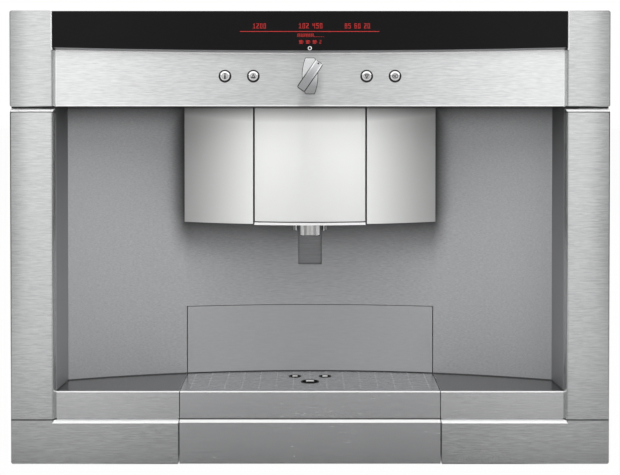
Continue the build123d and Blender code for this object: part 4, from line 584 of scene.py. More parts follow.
# The flat tops of the ledges are darkened as painted shade.
brushed_ledge = brushed("brushed_ledge", LEDGE_STEEL, 0.22, 0.10, bright=fold_painted_highlight, dark=tread, shade=0.7)
brushed_tray = brushed("brushed_tray", TRAY_STEEL, 0.24, 0.06, depth=FINE_GROOVE, bright=tray_painted_highlights,
                       dark=outline)
brushed_niche = brushed("brushed_niche", SHADED_NICHE_STEEL, 0.38, 0.22, metallic=0.3, dark=niche_shade)
print("brushed finishes made")

# %% Drip plate
ROW_PITCH = 17.2
ROW_WIDTH = 0.9
DOT_ROW = 9.0
ROW_SHINE = 0.12
DOT_SHINE = 0.24
PLATE_STEEL = (0.60, 0.605, 0.615)


def dotted(tree):
    """Rows of fine embossed dots that run from front to back of the plate."""
    x, y, _ = tree.axes()
    rows = tree.maths("PINGPONG", x, ROW_PITCH / 2) < ROW_WIDTH / 2
    dots = tree.maths("PINGPONG", y, DOT_ROW / 2) < DOT_ROW / 4
    return tread(tree) * rows * (dots * DOT_SHINE + ROW_SHINE)


brushed_plate = brushed("brushed_plate", PLATE_STEEL, 0.26, 0.06, bright=dotted)
print("rows of dots every", ROW_PITCH, "mm")

# %% [markdown]
# ## Silver, chrome and glass
#
# The covers of the dispensing head are sprayed silver: metal flakes in a clear coat, so they are
# smooth and even, with a soft shine, and painted shade at their edges, top and sides. Spout and
# nozzles are polished, with painted highlights and painted shade, and the nozzles are coloured dark
# as painted reflection. The knob and the buttons are satin chrome, also with painted highlights and
# painted shade, and the drain rings are coloured black as painted shade in the drain holes, with a
# painted glint. The display pane is black glass with an antireflection layer, which keeps the room
# out of it.

# %% Satin finish
FLAKE_DEPTH = 0.001
STAIN = 0.85


def satin(name, colour, roughness, flake=0.02, metallic=1.0, **masks):
    """Smooth metal or metal paint with a fine, even sparkle."""
    tree = new_finish(name)
    flakes = tree.noise((2.2, 2.2, 2.2), detail=1.0)
    clouds = tree.noise((0.02, 0.02, 0.02), detail=1.0)
    return metal(tree, colour, flakes * flake + clouds * 0.004 + 1.0, flakes * FLAKE_DEPTH,
                 flakes * flake + clouds * 0.006 + roughness, metallic, shade=STAIN, **masks)


trim_grey = satin("trim_grey", (0.30, 0.30, 0.31), 0.30)
polished_steel = satin("polished_steel", (0.75, 0.75, 0.76), 0.12, flake=0.01)
burr_steel = satin("burr_steel", (0.34, 0.34, 0.35), 0.32, flake=0.05)
cast_aluminium = satin("cast_aluminium", (0.58, 0.58, 0.58), 0.45, flake=0.12)
print("plain metals made")

# %% Silver covers
# Reach, strength and fade of the painted shade on the head covers.
TOP_SHADE_REACH = 16.0
COVER_TOP = 1.8
TOP_SHADE_MIDDLE = 0.7
TOP_SHADE_SIDES = 0.2
SIDE_SHADE = 0.42
SIDE_EDGE = 12.0
SIDE_FADE = 5.0
TOP_SHADE_FADE = 4.0
FLANK = 0.5
FOOT_HEIGHT = 70.0
FOOT_SHADE = 0.12
SEAM_HALF = 0.95
seam_x = (box_mm("head_cover_right")[0].x + box_mm("outlet_cover")[1].x) / 2


def cover_joints_and_shade(tree):
    """Painted shade at the head's outer edges, top, sides and lower middle, and dark joints between covers.
    """
    x, _, z = tree.axes()
    outer = (x * facing(tree)[0] > abs(x) * FLANK) * (abs(x) > head_side - SIDE_EDGE)
    joint = inside(abs(x), seam_x - SEAM_HALF, seam_x + SEAM_HALF)
    top = z > cap_bottom - COVER_TOP
    strength = rise(tree, abs(x), seam_x, seam_x + TOP_SHADE_FADE) * TOP_SHADE_SIDES + TOP_SHADE_MIDDLE
    shade_band = rise(tree, z, cap_bottom - TOP_SHADE_REACH, cap_bottom) * strength
    side = rise(tree, abs(x), seam_x - SIDE_FADE, head_side) * SIDE_SHADE
    foot = rise(tree, head_low + FOOT_HEIGHT - z, 0.0, FOOT_HEIGHT) * (abs(x) < seam_x) * FOOT_SHADE
    return strongest(tree, outer, joint, top, shade_band, side, foot)


satin_silver = satin("satin_silver", (0.96, 0.97, 0.95), 0.34, flake=0.004, metallic=0.62, dark=cover_joints_and_shade)
print("joints of the covers at", round(seam_x, 1), "mm from the middle")

# %% Knob
GRIP_LEAN = math.radians(34.4)
GRIP_HALF = 16.5
GRIP_WIDE = 4.7
GRIP_EDGE = 0.9
GRIP_LINE = 1.1
GRIP_SAG = 3.0
GRIP_REACH = 1.6
GRIP_FADE = (-4.0, 13.0)
GRIP_SHADE = 0.32
SHINE_FADE = (-2.0, 9.0)
SHINE = 0.6
PLINTH_SAG = 2.4
PLINTH_REACH = 2.5
PLINTH_TURN = 0.97
PLINTH_FADE = (-2.0, 10.0)
PLINTH_SHADE = 0.4
knob_z = sum(corner.z for corner in box_mm("knob_base")) / 2
grip_z = sum(corner.z for corner in box_mm("rotary_knob")) / 2
grip_y = box_mm("rotary_knob")[0].y
plinth_y = box_mm("knob_base")[0].y


def arched(lean, sag):
    """A function for the drop of a face that is arched along a line that leans from upright."""

    def drop(tree):
        x, _, z = tree.axes()
        along = x * math.sin(lean) + (z - knob_z) * math.cos(lean)
        return along * along * (sag / GRIP_HALF ** 2)

    return drop


def grip_axes(tree):
    """The places along and across the grip of the knob, in millimetres from its middle."""
    x, _, z = tree.axes()
    lean, turn = math.sin(GRIP_LEAN), math.cos(GRIP_LEAN)
    return x * lean + (z - grip_z) * turn, x * turn - (z - grip_z) * lean


def grip_painted_shade(tree):
    """Painted shade on the grip's edge, strongest at its lower end, and the shade there."""
    along, across = grip_axes(tree)
    rim = strongest(tree, abs(across) > GRIP_WIDE - GRIP_EDGE, abs(along) > GRIP_HALF - GRIP_EDGE)
    rim = rim * (tree.axes()[1] < grip_y + GRIP_REACH)
    upper = rise(tree, along, *GRIP_FADE)
    return strongest(tree, rim * (1.0 - upper * 0.6), (1.0 - upper) * GRIP_SHADE)


def grip_shine(tree):
    """Painted highlights: two bright lines inside the edges of the grip, near its upper end."""
    along, across = grip_axes(tree)
    lines = inside(abs(across), GRIP_WIDE - GRIP_EDGE - GRIP_LINE, GRIP_WIDE - GRIP_EDGE)
    return lines * rise(tree, along, *SHINE_FADE) * SHINE


def plinth_painted_shade(tree):
    """Painted shade: the dark rim of the knob's base, and the shade at its lower end."""
    rim = (tree.axes()[1] < plinth_y + PLINTH_REACH) * (facing(tree)[1] > -PLINTH_TURN)
    return strongest(tree, rim, rise(tree, knob_z - tree.axes()[2], *PLINTH_FADE) * PLINTH_SHADE)


knob_silver = satin("knob_silver", (0.68, 0.69, 0.70), 0.20, bright=grip_shine, dark=grip_painted_shade,
                    bow=arched(GRIP_LEAN, GRIP_SAG))
plinth_silver = satin("plinth_silver", (0.90, 0.91, 0.92), 0.20, dark=plinth_painted_shade,
                      bow=arched(0.0, PLINTH_SAG))
print("knob at a height of", round(knob_z, 1), "mm")

# %% Spout, nozzles and drain rings
SPOUT_CORNER = 6.5
SPOUT_SIDE = 9.85
SPOUT_DARK_EDGE = 0.8
SPOUT_MIDDLE_SHADE = 0.72
SPOUT_FADE = 4.0
SPOUT_GLOW = 0.3
LIP_HEIGHT = 2.5
LIP_JOINT = 1.1
LIP_SHINE = 0.7
LIP_TURN = 0.5
NOZZLE_INNER = (13.4, 14.8)
NOZZLE_OUTER = (16.5, 18.0)
NOZZLE_SHINE = 0.35
BORE_SHINE = 1.4
BORE_BACK = 0.88
spout_low = box_mm("coffee_spout")[0].z
lip_top = box_mm("outlet_block")[0].z + LIP_HEIGHT


def spout_painted_shade(tree):
    """Painted shade: the darker middle of the spout, its dark sides and its dark lower edge."""
    x, _, z = tree.axes()
    sides = strongest(tree, abs(x) > SPOUT_SIDE, z < spout_low + SPOUT_DARK_EDGE)
    middle = SPOUT_MIDDLE_SHADE - rise(tree, SPOUT_CORNER - abs(x), 0.0, SPOUT_FADE) * SPOUT_GLOW
    return strongest(tree, sides, (abs(x) < SPOUT_CORNER) * middle)


def spout_painted_highlights(tree):
    """Painted highlights on the corners of the spout."""
    x, _, z = tree.axes()
    return inside(abs(x), SPOUT_CORNER, SPOUT_SIDE) * (z > spout_low + SPOUT_DARK_EDGE)


def nozzle_shine(tree):
    """The light that runs down the side nozzles."""
    across = abs(tree.axes()[0])
    return strongest(tree, inside(across, *NOZZLE_INNER), inside(across, *NOZZLE_OUTER) * NOZZLE_SHINE)


def lip_face(tree):
    """Painted highlight on the face of the plate under the middle cover."""
    return (tree.axes()[2] < lip_top) * (facing(tree)[1] < -LIP_TURN) * LIP_SHINE


def lip_joint(tree):
    """The joint between that face and the cover."""
    return inside(tree.axes()[2], lip_top, lip_top + LIP_JOINT)


def bore_painted_glint(tree):
    """Painted glint at the upper end of the back of a drain ring's bore."""
    return (facing(tree)[1] < -BORE_BACK) * inside(tree.axes()[2], floor_top - BORE_SHINE, floor_top)


spout_chrome = satin("spout_chrome", (0.97, 0.97, 0.96), 0.10, flake=0.005, metallic=0.8,
                     bright=spout_painted_highlights, dark=spout_painted_shade)
# Dark colour on the nozzles is painted reflection of the dark niche round them.
nozzle_chrome = satin("nozzle_chrome", (0.16, 0.16, 0.16), 0.12, flake=0.005, bright=nozzle_shine)
lip_chrome = satin("lip_chrome", (0.80, 0.80, 0.80), 0.14, flake=0.01, bright=lip_face, dark=lip_joint)
# The drain rings are coloured black as painted shade in the drain holes, with a painted glint.
drain_shade_black = satin("drain_shade_black", (0.012, 0.011, 0.010), 0.3, flake=0.005, metallic=0.0, bright=bore_painted_glint)
drain_shade_black.shader.inputs["Specular IOR Level"].default_value = 0.1
print("spout ends at", round(spout_low, 1), "mm")

# %% Display glass
display_glass = new_finish("display_glass", Roughness=0.08, IOR=1.5)
display_glass.shader.inputs["Specular IOR Level"].default_value = 0.12
smears = display_glass.noise((0.02, 0.05, 0.02), detail=3.0)
display_glass.fill(display_glass.shader, {
    "Base Color": display_glass.shaded((0.006, 0.0055, 0.006), smears * 0.05 + 1.0),
    "Roughness": smears * 0.02 + 0.09,
})
print("display glass made")

# %% [markdown]
# ## Plastics and boards
#
# Moulded plastic copies the fine spark grain of its mould, and parts that nobody sees stay matt.
# Clear plastic lets light through, so its shader mixes in a see-through share. A circuit board is
# green lacquer over copper paths, which wavy stripes show well enough at this size.

# %% Moulded plastics
def moulded(name, colour, roughness, relief=0.01):
    """Plastic with the fine grain of its mould."""
    tree = new_finish(name)
    grain = tree.noise((1.6, 1.6, 1.6), detail=3.0)
    clouds = tree.noise((0.015, 0.015, 0.015), detail=2.0)
    tree.fill(tree.shader, {
        "Base Color": tree.shaded(colour, grain * 0.05 + clouds * 0.04 + 1.0),
        "Roughness": grain * 0.05 + clouds * 0.03 + roughness,
        "Normal": tree.bumped(grain, relief),
    })
    return tree


BLACK_PLASTIC = (0.030, 0.030, 0.032, 1.0)

black_plastic = moulded("black_plastic", BLACK_PLASTIC[:3], 0.52)
pump_grey = moulded("pump_grey", (0.26, 0.27, 0.28), 0.5)
piston_plastic = moulded("piston_plastic", (0.72, 0.71, 0.66), 0.35, relief=0.004)
print("moulded plastics made")

# %% Steel-faced plastic
FACING_THICKNESS = 2.4
container_face = new_finish("container_face")
face_grain = container_face.noise((0.07, 0.9, 0.9), detail=4.0)
steel_share = (behind_wall(container_face) < FACING_THICKNESS) * (facing(container_face)[1] < -FORWARD)
steel_share = steel_share * (container_face.axes()[2] > floor_top + FLOOR_JOINT)
steel_paint = container_face.shaded(SHADED_NICHE_STEEL, face_grain * 0.05 + 1.0)
container_face.fill(container_face.shader, {
    "Base Color": container_face.mixed(steel_share, BLACK_PLASTIC, steel_paint),
    "Metallic": steel_share * 0.3,
    "Roughness": face_grain * 0.04 - steel_share * 0.14 + 0.52,
    "Normal": container_face.bumped(face_grain, 0.004),
})
print("container: steel face of", FACING_THICKNESS, "mm on black plastic")


# %% Clear plastics
def clear(name, colour, opacity, roughness):
    """Thin clear or smoked plastic, with a faint haze in its colour, shine and see-through share."""
    tree = new_finish(name, Roughness=roughness)
    haze = tree.noise((0.04, 0.04, 0.04), detail=3.0)
    tree.fill(tree.shader, {
        "Base Color": tree.shaded(colour, haze * 0.03 + 1.0),
        "Roughness": haze * 0.02 + roughness,
        "Alpha": haze * 0.03 + opacity,
    })
    return tree


clear_plastic = clear("clear_plastic", (0.78, 0.85, 0.90), 0.32, 0.08)
smoked_plastic = clear("smoked_plastic", (0.10, 0.09, 0.085), 0.82, 0.10)
print("clear plastics made")

# %% Circuit board
BOARD_GREEN = (0.03, 0.16, 0.07, 1.0)
COPPER_GREEN = (0.07, 0.30, 0.13, 1.0)
PATH_PITCH = 2.4
PATH_WIDTH = 0.9

circuit_board = new_finish("circuit_board", Roughness=0.35)
_, board_y, board_z = circuit_board.axes()
wander = circuit_board.noise((0.05, 0.05, 0.05), detail=1.0)
path_place = circuit_board.maths("PINGPONG", board_z + board_y * 0.5 + wander * 3.0, PATH_PITCH / 2)
paths = (path_place < PATH_WIDTH / 2) * (wander > -0.2)
circuit_board.fill(circuit_board.shader, {
    "Base Color": circuit_board.mixed(paths, BOARD_GREEN, COPPER_GREEN),
    "Roughness": paths * 0.1 + 0.35,
    "Normal": circuit_board.bumped(paths, 0.03),
})
print("circuit board: paths every", PATH_PITCH, "mm")

# %% [markdown]
# ## Galvanised sheet
#
# The casing and the rails are steel dipped in zinc. As the zinc sets it grows crystals that each
# shine at their own angle, the spangle. A Voronoi pattern has the same flat cells, so its random
# value per cell sets how light and how rough each crystal is.

# %% Galvanised finish
ZINC = (0.56, 0.575, 0.585)
SPANGLE_SIZE = 7.0

zinc_sheet = new_finish("zinc_sheet", Metallic=0.9)
cells = zinc_sheet.node("ShaderNodeTexVoronoi", {}, {
    "Vector": zinc_sheet.stretched((1 / SPANGLE_SIZE,) * 3), "Scale": 1.0}, out="Color")
crystal = zinc_sheet.node("ShaderNodeRGBToBW", {}, {0: cells}) - 0.5
frost = zinc_sheet.noise((0.5, 0.5, 0.5))
zinc_sheet.fill(zinc_sheet.shader, {
    "Base Color": zinc_sheet.shaded(ZINC, crystal * 0.16 + frost * 0.02 + 1.0),
    "Roughness": crystal * 0.18 + 0.42,
    "Normal": zinc_sheet.bumped(frost, 0.01),
})
print("spangle of", SPANGLE_SIZE, "mm")

# %% [markdown]
# ## Every solid gets its finish
#
# The record names a finish for each solid. The names in this lesson are the same, so one loop
# dresses them all. A few pieces differ from their record's name in light or in pattern, and get
# their own finish here. The buttons wait for theirs, which are worked out from their places.

# %% Assign finishes
FINISHES = {tree.owner.name: tree for tree in (
    brushed_front, satin_silver, trim_grey, knob_silver, polished_steel, burr_steel, cast_aluminium,
    display_glass, black_plastic, pump_grey, piston_plastic, clear_plastic, smoked_plastic, circuit_board,
    zinc_sheet)}
SPECIAL = {"niche_liner": brushed_niche, "niche_ceiling": brushed_niche, "ledge_left": brushed_ledge,
           "ledge_right": brushed_ledge, "tray_front": brushed_tray, "drip_plate": brushed_plate,
           "grounds_container": container_face, "knob_base": plinth_silver, "control_panel": brushed_panel,
           "coffee_spout": spout_chrome, "drain_rings": drain_shade_black, "side_nozzles": nozzle_chrome,
           "outlet_block": lip_chrome}
BUTTON_SLOT = "button_chrome"
slot_of = {row["node"]: row["material_slot"] for row in frame["record"]["subparts"]}


def dress(piece, tree):
    """Gives a piece one finish."""
    if not piece.material_slots:
        piece.data.materials.append(None)
    for place in piece.material_slots:
        place.material = tree.owner


def finish_of(node):
    """The finish of a solid: its own one, or the one that its record names."""
    return SPECIAL.get(node) or FINISHES[slot_of[node]]


dressed = [node for node in frame["nodes"] if slot_of[node] != BUTTON_SLOT]
for node in dressed:
    dress(frame["nodes"][node], finish_of(node))
print("dressed", len(dressed), "of", len(frame["nodes"]), "solids")

# %% [markdown]
# ## Making pieces in mesh code
#
# The marks, rings and lit dots are small solids. Each is drawn in millimetres in the part's own
# drawing, where depth 0 is the front of the frame, and is then moved into the shared frame. One
# helper turns a profile round an axis that points out of the front, one gives an outline a
# thickness, and one does so with a strip. All of them sew faces between rings of points. Another
# helper makes the mesh a piece that rides on a body.

# %% Piece helpers
SHARP_FROM = math.radians(35)


def point(x, y, z):
    """A place in the part's drawing, in millimetres, as a point of the shared frame."""
    return Vector((x * MM, y * MM + FRONT_Y, z * MM))


def piece(name, shape, tree, body, slot):
    """Turns a mesh in the making into a piece that rides on a body."""
    bmesh.ops.recalc_face_normals(shape, faces=shape.faces)
    mesh = bpy.data.meshes.new(name)
    shape.to_mesh(mesh)
    shape.free()
    mesh.shade_smooth()
    mesh.set_sharp_from_angle(angle=SHARP_FROM)
    made = bpy.data.objects.new(name, mesh)
    bpy.context.scene.collection.objects.link(made)
    dress(made, tree)
    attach(made, body)
    return made


def sewn(shape, first, second):
    """Adds the faces between two closed rings of points. A ring may be one point, repeated."""
    for i in range(len(first)):
        j = (i + 1) % len(first)
        corners = list(dict.fromkeys((first[i], first[j], second[j], second[i])))
        if len(corners) > 2:
            shape.faces.new(corners)


def turned(shape, x, z, profile, steps=40):
    """Adds a closed profile of (radius, depth) points turned round an axis out of the front."""
    rings = []
    for radius, depth in profile:
        if radius == 0:
            rings.append([shape.verts.new(point(x, depth, z))] * steps)
            continue
        angles = (2 * math.pi * i / steps for i in range(steps))
        rings.append([shape.verts.new(point(x + radius * math.cos(a), depth, z + radius * math.sin(a)))
                      for a in angles])
    for ring, following in zip(rings, rings[1:] + rings[:1]):
        sewn(shape, ring, following)


def slab(shape, outline, front, back):
    """Adds an outline of (x, z) points as a solid from one depth to another."""
    near = [shape.verts.new(point(x, front, z)) for x, z in outline]
    far = [shape.verts.new(point(x, back, z)) for x, z in outline]
    shape.faces.new(near)
    shape.faces.new(far)
    sewn(shape, near, far)


def band(shape, outer, inner, front, back):
    """Adds the closed strip between two outlines with the same number of points as a solid."""
    loops = [[shape.verts.new(point(x, depth, z)) for x, z in outline]
             for outline, depth in ((outer, front), (inner, front), (inner, back), (outer, back))]
    for loop, following in zip(loops, loops[1:] + loops[:1]):
        sewn(shape, loop, following)


def circle(x, z, radius, steps=24):
    """The points of a circle."""
    angles = (2 * math.pi * i / steps for i in range(steps))
    return [(x + radius * math.cos(a), z + radius * math.sin(a)) for a in angles]


def rectangle(left, low, right, high):
    """The corners of a rectangle."""
    return [(left, low), (right, low), (right, high), (left, high)]


print("piece helpers ready")

# %% [markdown]
# ## Broken edges
#
# No edge of a real front is sharp: the sheet is folded with a radius, the cast frame is rounded so
# that nobody gets cut. These roundings are 0.3 to 1.5 mm wide, but they catch the light as thin
# lines. Each front piece is copied here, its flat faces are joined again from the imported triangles,
# and its corners get a small bevel. The copy takes the place of the solid.

# %% Bevel the front pieces
SOFT_EDGES = {"end_cap_left": 1.5, "end_cap_right": 1.5, "frame_left": 1.5, "frame_right": 1.5,
              "ledge_left": 0.5, "ledge_right": 0.5, "tray_front": 0.5, "control_panel": 0.5,
              "head_cover_left": 0.4, "head_cover_right": 0.4, "outlet_cover": 0.4, "coffee_spout": 0.3}
BEVEL_FROM = math.radians(40)
FLAT_TO = math.radians(0.5)
SAME_POINT = 1e-6
body_of = {node: body for body, nodes in frame["record"]["behaviour"]["bodies"].items() for node in nodes}

for node, width in SOFT_EDGES.items():
    shape = bmesh.new()
    shape.from_mesh(frame["nodes"][node].data)
    bmesh.ops.remove_doubles(shape, verts=shape.verts, dist=SAME_POINT)
    bmesh.ops.dissolve_limit(shape, angle_limit=FLAT_TO, verts=shape.verts, edges=shape.edges)
    corners = [edge for edge in shape.edges
               if len(edge.link_faces) == 2 and edge.calc_face_angle() > BEVEL_FROM]
    bmesh.ops.bevel(shape, geom=corners, offset=width * MM, segments=2, profile=0.6, affect="EDGES",
                    clamp_overlap=True)
    soft = piece(node + "_soft", shape, finish_of(node), body_of[node], slot_of[node])
    if "custom_normal" in soft.data.attributes:
        soft.data.attributes.remove(soft.data.attributes["custom_normal"])
    level = soft.modifiers.new("level", "WEIGHTED_NORMAL")
    level.weight = 100
    level.keep_sharp = True
    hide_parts(node)
    print(node, "has", len(corners), "broken edges")

# %% [markdown]
# ## Dark beads between caps and pillars
#
# The slot between an end cap and the pillar under it lies in shade. A bead of black, set back in
# the slot, stands in for that shade and shows as a dark line: it is painted shade. It is a round
# bead, so it is drawn as a half circle that runs along the slot.

# %% Black beads as painted shade
BEAD_FRONT = 1.4
BEAD_DEPTH = 3.2
BEAD_STEPS = 8
BEAD_END = 1.6
BEAD_OVERLAP = 1.0
BEAD_SLACK = 0.05

# Black for the beads and the button rings, which stand in for shade as painted shade.
shade_black = moulded("shade_black", (0.012, 0.012, 0.013), 0.7)
bead_middle = (pillar_top + cap_bottom) / 2
bead_half = (cap_bottom - pillar_top) / 2 - BEAD_SLACK
bead_ends = (panel_side - BEAD_OVERLAP, front_side - BEAD_END)
bead_back = BEAD_FRONT + BEAD_DEPTH
for side, name in ((-1, "slot_shade_bead_left"), (1, "slot_shade_bead_right")):
    bead = bmesh.new()
    arc = [math.pi * (i / BEAD_STEPS - 0.5) for i in range(BEAD_STEPS + 1)]
    profile = [(BEAD_FRONT + bead_half * (1 - math.cos(a)), bead_middle + bead_half * math.sin(a))
               for a in arc]
    profile += [(bead_back, bead_middle + bead_half), (bead_back, bead_middle - bead_half)]
    ends = [[bead.verts.new(point(side * x, y, z)) for y, z in profile] for x in bead_ends]
    for end in ends:
        bead.faces.new(end)
    sewn(bead, *ends)
    piece(name, bead, shade_black, "machine", "black_plastic")
print("beads", round(2 * bead_half, 2), "mm thick")

# %% [markdown]
# ## What the display shows
#
# Behind the black pane sits a dot matrix. Its lit dots are all that shows: three settings over a
# line, a strength gauge and a cup below it. They are drawn here as tiny plates on the glass, from
# small patterns in which each string is a row of dots. The settings are plain numbers.

# %% Lit dots
DOT_PITCH = 0.9
DOT_SIZE = 0.54
DOT_LIFT = 0.12
PATTERNS = {
    "0": ("111", "101", "101", "101", "101", "111"),
    "1": ("010", "110", "010", "010", "010", "111"),
    "2": ("111", "001", "011", "110", "100", "111"),
    "3": ("111", "001", "011", "001", "001", "111"),
    "4": ("101", "101", "111", "001", "001", "001"),
    "5": ("111", "100", "111", "001", "001", "111"),
    "6": ("111", "100", "111", "101", "101", "111"),
    "8": ("111", "101", "111", "101", "101", "111"),
    ":": ("0", "1", "0", "0", "1", "0"),
    " ": ("00", "00", "00", "00", "00", "00"),
    "cup": ("1111110", "1111111", "1111101", "1111111", "0111100", "1111110"),
    "bar": ("11", "11", "11", "11", "11", "11"),
    "low": ("00", "00", "00", "00", "00", "11"),
}
SHOWN = {
    "display_left": (-50.0, 435.6, 0.96, ["1", "2", "0", "0"]),
    "display_middle": (0.6, 435.8, 1.0, ["1", "0", "2", " ", "4", "5", "0"]),
    "display_right": (46.9, 435.6, 0.96, ["8", "5", " ", "6", "0", " ", "2", "0"]),
    "display_gauge": (0.6, 426.4, 0.62, ["bar"] * 10 + ["low"] * 6),
    "display_cups": (0.2, 419.8, 0.68, ["cup", " ", "cup", " ", "cup", " ", "2"]),
}
LINE_Z = 429.95
LINE_FROM = -69.4
LINE_TO = 68.6
LINE_WIDTH = 0.4

glass_front = box_mm("display_glass")[0].y - face_y
on_glass = (glass_front - DOT_LIFT, glass_front + DOT_LIFT)
lit_red = new_finish("lit_red", Roughness=0.5)
flicker = lit_red.noise((0.35, 0.35, 0.35), detail=1.0)
lit_red.fill(lit_red.shader, {
    "Base Color": (0.25, 0.01, 0.01, 1.0),
    "Emission Color": lit_red.shaded((0.72, 0.035, 0.03), flicker * 0.12 + 1.0),
    "Emission Strength": 0.9,
})


def lit_row(x, z, scale, signs):
    """A centred row of characters made of lit dots."""
    pitch, half = DOT_PITCH * scale, DOT_SIZE * scale / 2
    patterns = [PATTERNS[sign] for sign in signs]
    total = sum(len(pattern[0]) + 1 for pattern in patterns) - 1
    shape = bmesh.new()
    left = x - total * pitch / 2
    for pattern in patterns:
        for row, dots in enumerate(pattern):
            for column, dot in enumerate(dots):
                if dot == "1":
                    cx, cz = left + (column + 0.5) * pitch, z + (len(pattern) / 2 - row - 0.5) * pitch
                    slab(shape, rectangle(cx - half, cz - half, cx + half, cz + half), *on_glass)
        left += (len(pattern[0]) + 1) * pitch
    return shape


for name, (x, z, scale, signs) in SHOWN.items():
    row = piece(name, lit_row(x, z, scale, signs), lit_red, "machine", "display_glass")
    print(name, "has", len(row.data.polygons) // 6, "lit dots")

shape = bmesh.new()
slab(shape, rectangle(LINE_FROM, LINE_Z, LINE_TO, LINE_Z + LINE_WIDTH), *on_glass)
piece("display_line", shape, lit_red, "machine", "display_glass")

# %% [markdown]
# ## Printed ring over the knob
#
# A small white ring on the pane stands over the knob, as the point to which its mark is turned. It
# is enamel, fired on the glass.

# %% Printed ring
RING_X = -0.2
RING_Z = 413.6
RING_OUTER = 2.0
RING_INNER = 1.25

printed_white = moulded("printed_white", (0.80, 0.80, 0.80), 0.5, relief=0.002)
shape = bmesh.new()
band(shape, circle(RING_X, RING_Z, RING_OUTER), circle(RING_X, RING_Z, RING_INNER), *on_glass)
piece("printed_ring", shape, printed_white, "machine", "display_glass")
print("ring of", 2 * RING_OUTER, "mm")

# %% [markdown]
# ## Buttons
#
# Each button is a chrome cap in a black ring, which is painted shade: it stands in for the shade in
# the gap round the cap. The cap's face is a shallow dome, and its sign is filled with black enamel:
# information, up, down, cups.
# The signs are drawn outlines, laid on the dome so that they follow it.

# %% Button faces, rings and signs
CAP_CHROME = (0.80, 0.80, 0.80)
FACE_RADIUS = 4.4
FACE_RISE = 0.3
FACE_DROP = 0.8
COLLAR_INNER = 5.45
COLLAR_OUTER = 6.28
COLLAR = [(COLLAR_INNER, 0.9), (COLLAR_INNER + 0.2, 0.1), ((COLLAR_INNER + COLLAR_OUTER) / 2, -0.25),
          (COLLAR_OUTER, -0.1), (COLLAR_OUTER, 1.6), (COLLAR_INNER, 1.6)]
RIM_FROM = 4.65
RIM_LIFT = 0.3
CAP_SHADE_TO = 3.3
CAP_SHADE = 0.3
SHOULDER = 1.4
CAP_DEPTH = 0.8
STEM_HALF = 0.75
STEM_FOOT = -2.9
STEM_TOP = 0.9
POINT_UP = 2.3
POINT_RADIUS = 0.8
TIP_OUTER = 2.5
TIP_INNER = 1.1
TIP_TO_BASE = -0.7
CUP_RINGS = ((-1.8, 1.3), (1.5, 1.75))
CUP_WALL = 0.7
SIGN_LAYER = (-0.05, 0.5)

black_enamel = moulded("black_enamel", (0.02, 0.02, 0.022), 0.35, relief=0.002)
panel_front = box_mm("control_panel")[0].y - face_y


def face_depth(front, radius):
    """How deep the domed face of a button lies at a distance from its middle."""
    return front - FACE_RISE + FACE_DROP * (radius / FACE_RADIUS) ** 2


def laid(shape, x, z, front):
    """Divides a flat sign and moves its points onto the dome, its back into the cap."""
    bmesh.ops.subdivide_edges(shape, edges=shape.edges[:], cuts=3, use_grid_fill=True)
    for vert in shape.verts:
        radius = math.hypot(vert.co.x / MM - x, vert.co.z / MM - z)
        deep = (vert.co.y - FRONT_Y) / MM
        vert.co.y = FRONT_Y + (face_depth(front, radius) + deep) * MM


def capped(name, x, z):
    """Chrome for one button, with painted shade at rim and middle and a painted highlight on its shoulder."""

    def away(tree, lift):
        across, _, high = tree.axes()
        across, high = across - x, high - (z + lift)
        return tree.maths("SQRT", across * across + high * high)

    def rim_painted_shade(tree):
        return strongest(tree, away(tree, RIM_LIFT) > RIM_FROM, (away(tree, 0.0) < CAP_SHADE_TO) * CAP_SHADE)

    def polished(tree):
        return inside(away(tree, 0.0), CAP_SHADE_TO, RIM_FROM + RIM_LIFT) * (tree.axes()[2] > z + SHOULDER)

    return satin(name + "_cap", CAP_CHROME, 0.18, bright=polished, dark=rim_painted_shade)


def triangle(x, z, tip):
    """The three corners of a triangle with its tip above or below its middle."""
    base = TIP_TO_BASE * tip
    return [(x - abs(tip), z + base), (x + abs(tip), z + base), (x, z + tip)]


def sign_info(shape, x, z):
    """Information: a point over a stem."""
    stem = rectangle(x - STEM_HALF, z + STEM_FOOT, x + STEM_HALF, z + STEM_TOP)
    for drawn in (circle(x, z + POINT_UP, POINT_RADIUS, 12), stem):
        slab(shape, drawn, *SIGN_LAYER)


def sign_up(shape, x, z, turn=1):
    """Up: an open triangle."""
    band(shape, triangle(x, z, turn * TIP_OUTER), triangle(x, z, turn * TIP_INNER), *SIGN_LAYER)


def sign_down(shape, x, z):
    """Down: the same triangle, tip below."""
    sign_up(shape, x, z, -1)


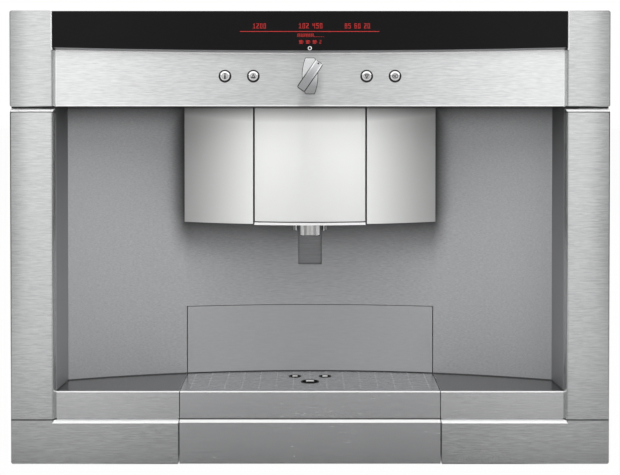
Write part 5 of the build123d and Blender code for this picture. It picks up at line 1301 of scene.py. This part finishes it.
def sign_cups(shape, x, z):
    """Cups: a small and a larger ring."""
    for aside, radius in CUP_RINGS:
        band(shape, circle(x + aside, z, radius), circle(x + aside, z, radius - CUP_WALL), *SIGN_LAYER)


for sign in (sign_info, sign_up, sign_down, sign_cups):
    button = sign.__name__.replace("sign", "button")
    low, high = box_mm(button)
    x, z, front = (low.x + high.x) / 2, (low.z + high.z) / 2, low.y - face_y
    cap_chrome = capped(button, x, z)
    dress(frame["nodes"][button], cap_chrome)
    face = bmesh.new()
    steps = [FACE_RADIUS * i / 6 for i in range(7)]
    back = [(FACE_RADIUS, front + CAP_DEPTH), (0, front + CAP_DEPTH)]
    turned(face, x, z, [(r, face_depth(front, r)) for r in steps] + back)
    piece(button + "_face", face, cap_chrome, button, BUTTON_SLOT)
    mark = bmesh.new()
    sign(mark, x, z)
    laid(mark, x, z, front)
    piece(button + "_sign", mark, black_enamel, button, BUTTON_SLOT)
    ring = bmesh.new()
    turned(ring, x, z, [(radius, panel_front + deep) for radius, deep in COLLAR])
    piece(button + "_ring", ring, shade_black, "machine", "black_plastic")
    print(button, "at", round(x, 1), round(z, 1))

# %% [markdown]
# ## Mark on the knob
#
# The upper end of the grip has a small round dimple. Black enamel fills it nearly level, so the
# mark stays sharp however often the knob is touched.

# %% Knob mark
MARK_RADIUS = 0.86
MARK_ALONG = 14.5
MARK_EDGE = (0.8, 0.1)
MARK_FROM = 0.02
MARK_TO = 0.48

knob_x = sum(corner.x for corner in box_mm("knob_base")) / 2
grip_front = grip_y - face_y
shape = bmesh.new()
turned(shape, knob_x + MARK_ALONG * math.sin(GRIP_LEAN), knob_z + MARK_ALONG * math.cos(GRIP_LEAN),
       [(0, grip_front + MARK_FROM), (MARK_RADIUS * MARK_EDGE[0], grip_front + MARK_FROM),
        (MARK_RADIUS, grip_front + MARK_EDGE[1]), (MARK_RADIUS, grip_front + MARK_TO),
        (0, grip_front + MARK_TO)], steps=20)
piece("knob_mark", shape, black_enamel, "knob", "black_plastic")
print("knob axis at", round(knob_x, 2), round(knob_z, 2))
